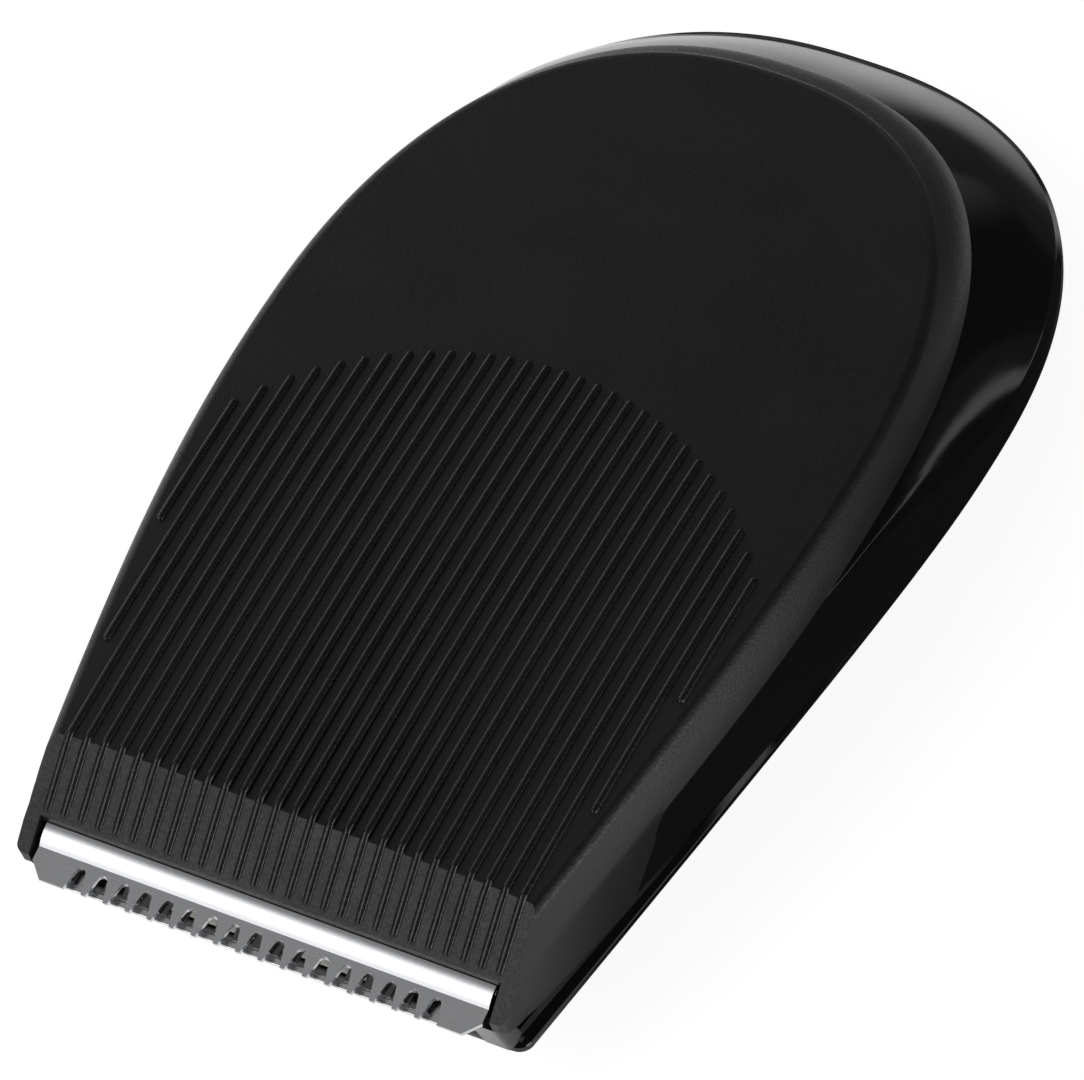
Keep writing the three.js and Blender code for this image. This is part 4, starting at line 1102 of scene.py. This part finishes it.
class TRIMMER_OT_comb(bpy.types.Operator):
    """Build the folded steel comb with its slots and its rolled bar"""

    bl_idname = "trimmer.comb"
    bl_label = "Comb"

    def execute(self, context):
        sizes = context.scene.trimmer_blade
        half = COMB_HIGH.x / MM
        section = comb_section(sizes.comb_sheet / MM)
        comb = link_mesh("comb_steel", lambda bm: prism(bm, section, -half, half, side_view))

        def slots(bm):
            for i in range(SLOT_COUNT):
                x = (i - (SLOT_COUNT - 1) / 2) * sizes.slot_pitch / MM
                outline = slot_outline(x, TIP_AT, TIP_AT + SLOT_LENGTH, SLOT_MOUTH, SLOT_ROOT)
                prism(bm, outline, 0.0, HIGH, plan_view)

        def corners(bm):
            for side in (1, -1):
                prism(bm, comb_corner(side, half), 0.0, HIGH, plan_view)

        carve(comb, [link_mesh("slots", slots), link_mesh("corners", corners), *blade_holes("comb")])
        break_edges(comb, sizes.edge_break / MM)
        smooth(comb, BLADE_SHARP_FROM)
        steel = polished_steel("comb_polish", context.scene.trimmer_finish.steel_colour, COMB_ROUGHNESS)
        settle(comb, steel, "blade_steel", "housing", "comb_guard")
        return {"FINISHED"}


class TRIMMER_OT_cutter(bpy.types.Operator):
    """Build the toothed cutter that slides under the comb"""

    bl_idname = "trimmer.cutter"
    bl_label = "Cutter"

    def execute(self, context):
        sizes = context.scene.trimmer_blade
        top = -(sizes.comb_sheet / MM + SLIDE_GAP)
        under = top - CUTTER_SHEET
        half = CUTTER_HIGH.x / MM
        plate = [(-half, CUTTER_SET_BACK), (half, CUTTER_SET_BACK), (half, CUTTER_REAR), (-half, CUTTER_REAR)]
        cutter = link_mesh("cutter_steel", lambda bm: prism(bm, plate, under, top, blade_plan))

        def gaps(bm):
            end = CUTTER_SET_BACK + CUTTER_TOOTH
            for i in range(CUTTER_TEETH - 1):
                x = (i - (CUTTER_TEETH - 2) / 2) * sizes.cutter_pitch / MM
                outline = slot_outline(x, CUTTER_SET_BACK, end, CUTTER_GAP_MOUTH, CUTTER_GAP)
                prism(bm, outline, under - 1, top + 1, blade_plan)

        def stakes(bm):
            for side in (1, -1):
                hole = circle(STAKE_HOLE, side * STAKE_X, STAKE_AT, count=24)
                prism(bm, hole, under - 1, top + 1, blade_plan)

        carve(cutter, [link_mesh("gaps", gaps), link_mesh("stakes", stakes)])
        break_edges(cutter, sizes.edge_break / MM / 2, segments=1)
        smooth(cutter, BLADE_SHARP_FROM)
        # Painted shade: the cutter's steel is darkened so that the comb's slots look dark inside.
        ground = shaded(context.scene.trimmer_finish.steel_colour, CUTTER_PAINTED_SHADE)
        steel = polished_steel("cutter_grind_and_painted_shade", ground, CUTTER_ROUGHNESS, CUTTER_LAY)
        settle(cutter, steel, "blade_steel", "cutter", "moving_cutter")
        return {"FINISHED"}


class TRIMMER_OT_strip(bpy.types.Operator):
    """Build the narrow plate under the cutter, with its two arms"""

    bl_idname = "trimmer.strip"
    bl_label = "Lower strip"

    def execute(self, context):
        sizes = context.scene.trimmer_blade
        top = -(sizes.comb_sheet / MM + 2 * SLIDE_GAP + CUTTER_SHEET)
        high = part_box("lower_guard_strip")[1]
        half = high.x / MM
        rear = along(high.y)
        bend_at, bend_top = on_blade(STRIP_BEND, top)
        section = [
            on_blade(STRIP_FRONT, top),
            (bend_at, bend_top),
            (rear, bend_top),
            (rear, bend_top - STRIP_SHEET),
            (bend_at, bend_top - STRIP_SHEET),
            on_blade(STRIP_FRONT, top - STRIP_SHEET),
        ]
        strip = link_mesh("strip_steel", lambda bm: prism(bm, section, -half, half, side_view))
        inside = half - STRIP_ARM
        window = on_blade(STRIP_FRONT + STRIP_WIDTH, top)[0]
        between_arms = block("window", -inside, inside, window, rear + PAST, 0.0, HIGH)
        carve(strip, [between_arms, *blade_holes("strip")])
        break_edges(strip, sizes.edge_break / MM)
        smooth(strip, BLADE_SHARP_FROM)
        steel = polished_steel("strip_polish", context.scene.trimmer_finish.steel_colour, STRIP_ROUGHNESS)
        settle(strip, steel, "blade_steel", "housing", "lower_guard_strip")
        return {"FINISHED"}


# ---- coupling and inner pieces ---------------------------------------------------------------------------


def dress(nodes, material):
    """Gives pieces of the mechanical model their finish; their shape is already the final one."""
    for name in nodes:
        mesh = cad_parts[name].data
        mesh.materials.clear()
        mesh.materials.append(material)


class TRIMMER_OT_mechanism(bpy.types.Operator):
    """Give the coupling, the drive and the fasteners their finishes"""

    bl_idname = "trimmer.mechanism"
    bl_label = "Mechanism"

    def execute(self, context):
        finish = context.scene.trimmer_finish
        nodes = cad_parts
        screws = [name for name in nodes if "screw" in name]
        pins = ["lever_pivot_pin", "lever_clip", "lever_washer", "spindle_washer", "cutter_spring"]
        collar = matte_plastic("collar_plastic", finish.cover_colour, roughness=0.45)
        deck = matte_plastic("frame_plastic", finish.frame_colour, roughness=0.5)
        dress(["coupling_collar"], collar)
        dress(["drive_frame", "drive_coupler"], deck)
        dress(["drive_lever", "cutter_carrier"], slide_plastic("slide_plastic", finish.acetal_colour))
        dress(["drive_spindle"], polished_steel("spindle_polish", finish.steel_colour, roughness=0.2))
        dress(screws + pins, polished_steel("screw_steel", finish.spring_colour, roughness=0.28))
        dress(["spindle_bush"], sintered_bronze("bush_bronze", finish.bronze_colour))
        dress(["spindle_seal"], seal_rubber("seal_rubber", finish.rubber_colour))
        return {"FINISHED"}


# ---- stage -----------------------------------------------------------------------------------------------

# A long lens, in millimetres; the camera's place and aim are in metres.
LENS = 412.5
SENSOR = 36.0
CAMERA_AT = (0.3609035, -0.4091262, 0.6891023)
CAMERA_AIM = (0.0018108, -0.0054621, 0.01)
CAMERA_ROLL = math.radians(15.75)
CLIP_END = 10.0

# The softbox on the front left, in metres and watts.
KEY_AT = (-0.35, -0.62, 0.62)
KEY_AIM = (0.0, -0.02, 0.01)
KEY_WIDTH = 0.75
KEY_HEIGHT = 0.5
KEY_POWER = 1.1

# Soft glows of the studio: towards where, from and to which cosine they rise, and how strong.
WORLD_LEVEL = 0.03
WORLD_GLOWS = (
    ((-0.85, 0.43, 0.3), 0.88, 0.98, 0.9),
    ((1.0, -0.15, 0.1), 0.88, 0.97, 4.0),
    ((-0.4, 0.1, 0.91), 0.88, 0.98, 0.2),
)
# The glow behind the head has a sharp edge on its left: it shows only towards REAR_GLOW_EDGE.
REAR_GLOW = ((-0.25, 0.9, 0.25), 0.88, 0.98, 0.33)
REAR_GLOW_EDGE = (-0.956, 0.292, 0.0)
REAR_GLOW_SOFTNESS = 0.01
# The tall strip light on the front left: where its left, right and rear borders lie, and how strong it is.
STRIP_LEFT = (-0.66, -0.54)
STRIP_RIGHT = (-0.3, -0.18)
STRIP_REAR = (-0.4, -0.1)
STRIP_LIGHT = 1.35
# The table's half size, in metres.
TABLE_HALF = 3.0
# The table as the gloss shows it, a painted glow: pale near the head, dark far behind it, with a painted
# shadow on its right.
TABLE_FAR = 0.08
TABLE_NEAR = 0.8
TABLE_FADES = (0.053, 0.081)
SHADOW_SIDE = (0.012, 0.022)
SHADOW_FRONT = (-0.07, -0.052)
SHADOW_REAR = (0.042, 0.05)
SHADOW_DEPTH = 0.97
# To the camera the table is white: its own glow and what the light adds, so that the cast shadow shows.
TABLE_SEEN = 0.9
TABLE_COLOUR = (0.4, 0.4, 0.4, 1.0)
WHITE = (1.0, 1.0, 1.0, 1.0)


def place_camera(scene):
    camera = bpy.data.cameras.new("camera")
    camera.lens = LENS
    camera.sensor_width = SENSOR
    camera.sensor_fit = "HORIZONTAL"
    camera.clip_end = CLIP_END
    holder = bpy.data.objects.new("camera", camera)
    turn = (Vector(CAMERA_AIM) - Vector(CAMERA_AT)).to_track_quat("-Z", "Y").to_matrix().to_4x4()
    holder.matrix_world = Matrix.Translation(CAMERA_AT) @ turn @ Matrix.Rotation(-CAMERA_ROLL, 4, "Z")
    scene.collection.objects.link(holder)
    scene.camera = holder


def place_softbox(scene):
    light = bpy.data.lights.new("key_softbox", "AREA")
    light.shape = "RECTANGLE"
    light.size = KEY_WIDTH
    light.size_y = KEY_HEIGHT
    light.energy = KEY_POWER
    holder = bpy.data.objects.new("key_softbox", light)
    holder.location = KEY_AT
    holder.rotation_euler = (Vector(KEY_AIM) - Vector(KEY_AT)).to_track_quat("-Z", "Y").to_euler()
    scene.collection.objects.link(holder)


def table_white():
    """White to the camera and through clear matter; gloss sees the table's painted glow with a painted head
    shadow.
    """
    material, wire = new_material("floor_white")
    path = wire.node("ShaderNodeLightPath").socket.node
    camera_ray, glossy_ray, clear_ray = (
        Wire(wire.tree, path.outputs[f"Is {kind} Ray"]) for kind in ("Camera", "Glossy", "Transmission")
    )
    where = own_place(wire)
    east, north = (wire.node("ShaderNodeSeparateXYZ", {}, {"Vector": where}, i) for i in range(2))
    # A painted shadow of the head, put into the table's glow by where on the table it lies.
    shadow = east.between(*SHADOW_SIDE) * (north - east).between(*SHADOW_FRONT)
    shadow = shadow * (1.0 - north.between(*SHADOW_REAR)) * SHADOW_DEPTH
    table = ((1.0 - north.between(*TABLE_FADES)) * TABLE_NEAR + TABLE_FAR) * (1.0 - shadow)
    seen = (camera_ray * TABLE_SEEN + glossy_ray * table + clear_ray).clamped()
    lit = wire.node("ShaderNodeBsdfDiffuse", {}, {"Color": TABLE_COLOUR})
    white = wire.node("ShaderNodeEmission", {}, {"Color": WHITE, "Strength": 1.0})
    glow = wire.node("ShaderNodeMixShader", {}, {0: seen, 2: white})
    ground = wire.node("ShaderNodeMixShader", {}, {0: glossy_ray, 1: lit})
    shown = wire.node("ShaderNodeAddShader", {}, {0: ground, 1: glow})
    wire.node("ShaderNodeOutputMaterial", {}, {"Surface": shown})
    return material


def lay_floor():
    corners = [(TABLE_HALF * x, TABLE_HALF * y) for x, y in ((-1, -1), (1, -1), (1, 1), (-1, 1))]
    height = cad_box[0][2]
    floor = link_mesh("floor", lambda bm: bm.faces.new([bm.verts.new((x, y, height)) for x, y in corners]))
    floor.data.materials.append(table_white())


def light_world(scene):
    """A dim studio with a strip light and soft glows; white to the camera."""
    world = bpy.data.worlds.new("studio")
    scene.world = world
    world.use_nodes = True
    world.node_tree.nodes.clear()
    wire = Wire(world.node_tree, None)
    direction = wire.node("ShaderNodeTexCoord", output=0)  # for a world, the way one looks
    east, north = (wire.node("ShaderNodeSeparateXYZ", {}, {"Vector": direction}, i) for i in range(2))
    strip = east.between(*STRIP_LEFT) * (1.0 - east.between(*STRIP_RIGHT))
    strip = strip * (1.0 - north.between(*STRIP_REAR))
    level = strip * STRIP_LIGHT + WORLD_LEVEL
    for axis, low, high, strength in WORLD_GLOWS:
        level = level + direction.facing(axis).between(low, high) * strength
    axis, low, high, strength = REAR_GLOW
    beside = direction.facing(REAR_GLOW_EDGE).between(-REAR_GLOW_SOFTNESS, REAR_GLOW_SOFTNESS)
    level = level + direction.facing(axis).between(low, high) * beside * strength
    camera_ray = wire.node("ShaderNodeLightPath")
    lit = wire.node("ShaderNodeBackground", {}, {"Color": level, "Strength": 1.0})
    blank = wire.node("ShaderNodeBackground", {}, {"Color": WHITE, "Strength": 1.0})
    shown = wire.node("ShaderNodeMixShader", {}, {0: camera_ray, 1: lit, 2: blank})
    wire.node("ShaderNodeOutputWorld", {}, {"Surface": shown})


class TRIMMER_OT_stage(bpy.types.Operator):
    """Set up the white floor, the soft light and the camera"""

    bl_idname = "trimmer.stage"
    bl_label = "Stage"

    def execute(self, context):
        context.scene.view_settings.view_transform = "Standard"
        place_camera(context.scene)
        lay_floor()
        light_world(context.scene)
        place_softbox(context.scene)
        return {"FINISHED"}


# ---- panel and running order -----------------------------------------------------------------------------

STEPS = (
    TRIMMER_OT_stage,
    TRIMMER_OT_cover,
    TRIMMER_OT_ribs,
    TRIMMER_OT_base,
    TRIMMER_OT_comb,
    TRIMMER_OT_cutter,
    TRIMMER_OT_strip,
    TRIMMER_OT_mechanism,
)
GROUPS = (
    ("trimmer_body", TrimmerBodySizes),
    ("trimmer_blade", TrimmerBladeSizes),
    ("trimmer_finish", TrimmerFinish),
)


class TRIMMER_PT_panel(bpy.types.Panel):
    bl_idname = "TRIMMER_PT_panel"
    bl_label = "Trimmer Head"
    bl_space_type = "VIEW_3D"
    bl_region_type = "UI"
    bl_category = "Trimmer Head"

    def draw(self, context):
        for name, group in GROUPS:
            box = self.layout.box()
            for prop in group.__annotations__:
                box.prop(getattr(context.scene, name), prop)
        for step in STEPS:
            self.layout.operator(step.bl_idname)


def register():
    for name, group in GROUPS:
        bpy.utils.register_class(group)
        setattr(bpy.types.Scene, name, bpy.props.PointerProperty(type=group))
    for step in (*STEPS, TRIMMER_PT_panel):
        bpy.utils.register_class(step)


def unregister():
    for step in (TRIMMER_PT_panel, *reversed(STEPS)):
        bpy.utils.unregister_class(step)
    for name, group in reversed(GROUPS):
        delattr(bpy.types.Scene, name)
        bpy.utils.unregister_class(group)


def main():
    register()
    for step in STEPS:
        area, name = step.bl_idname.split(".")
        getattr(getattr(bpy.ops, area), name)()


if __name__ == "__main__":
    main()
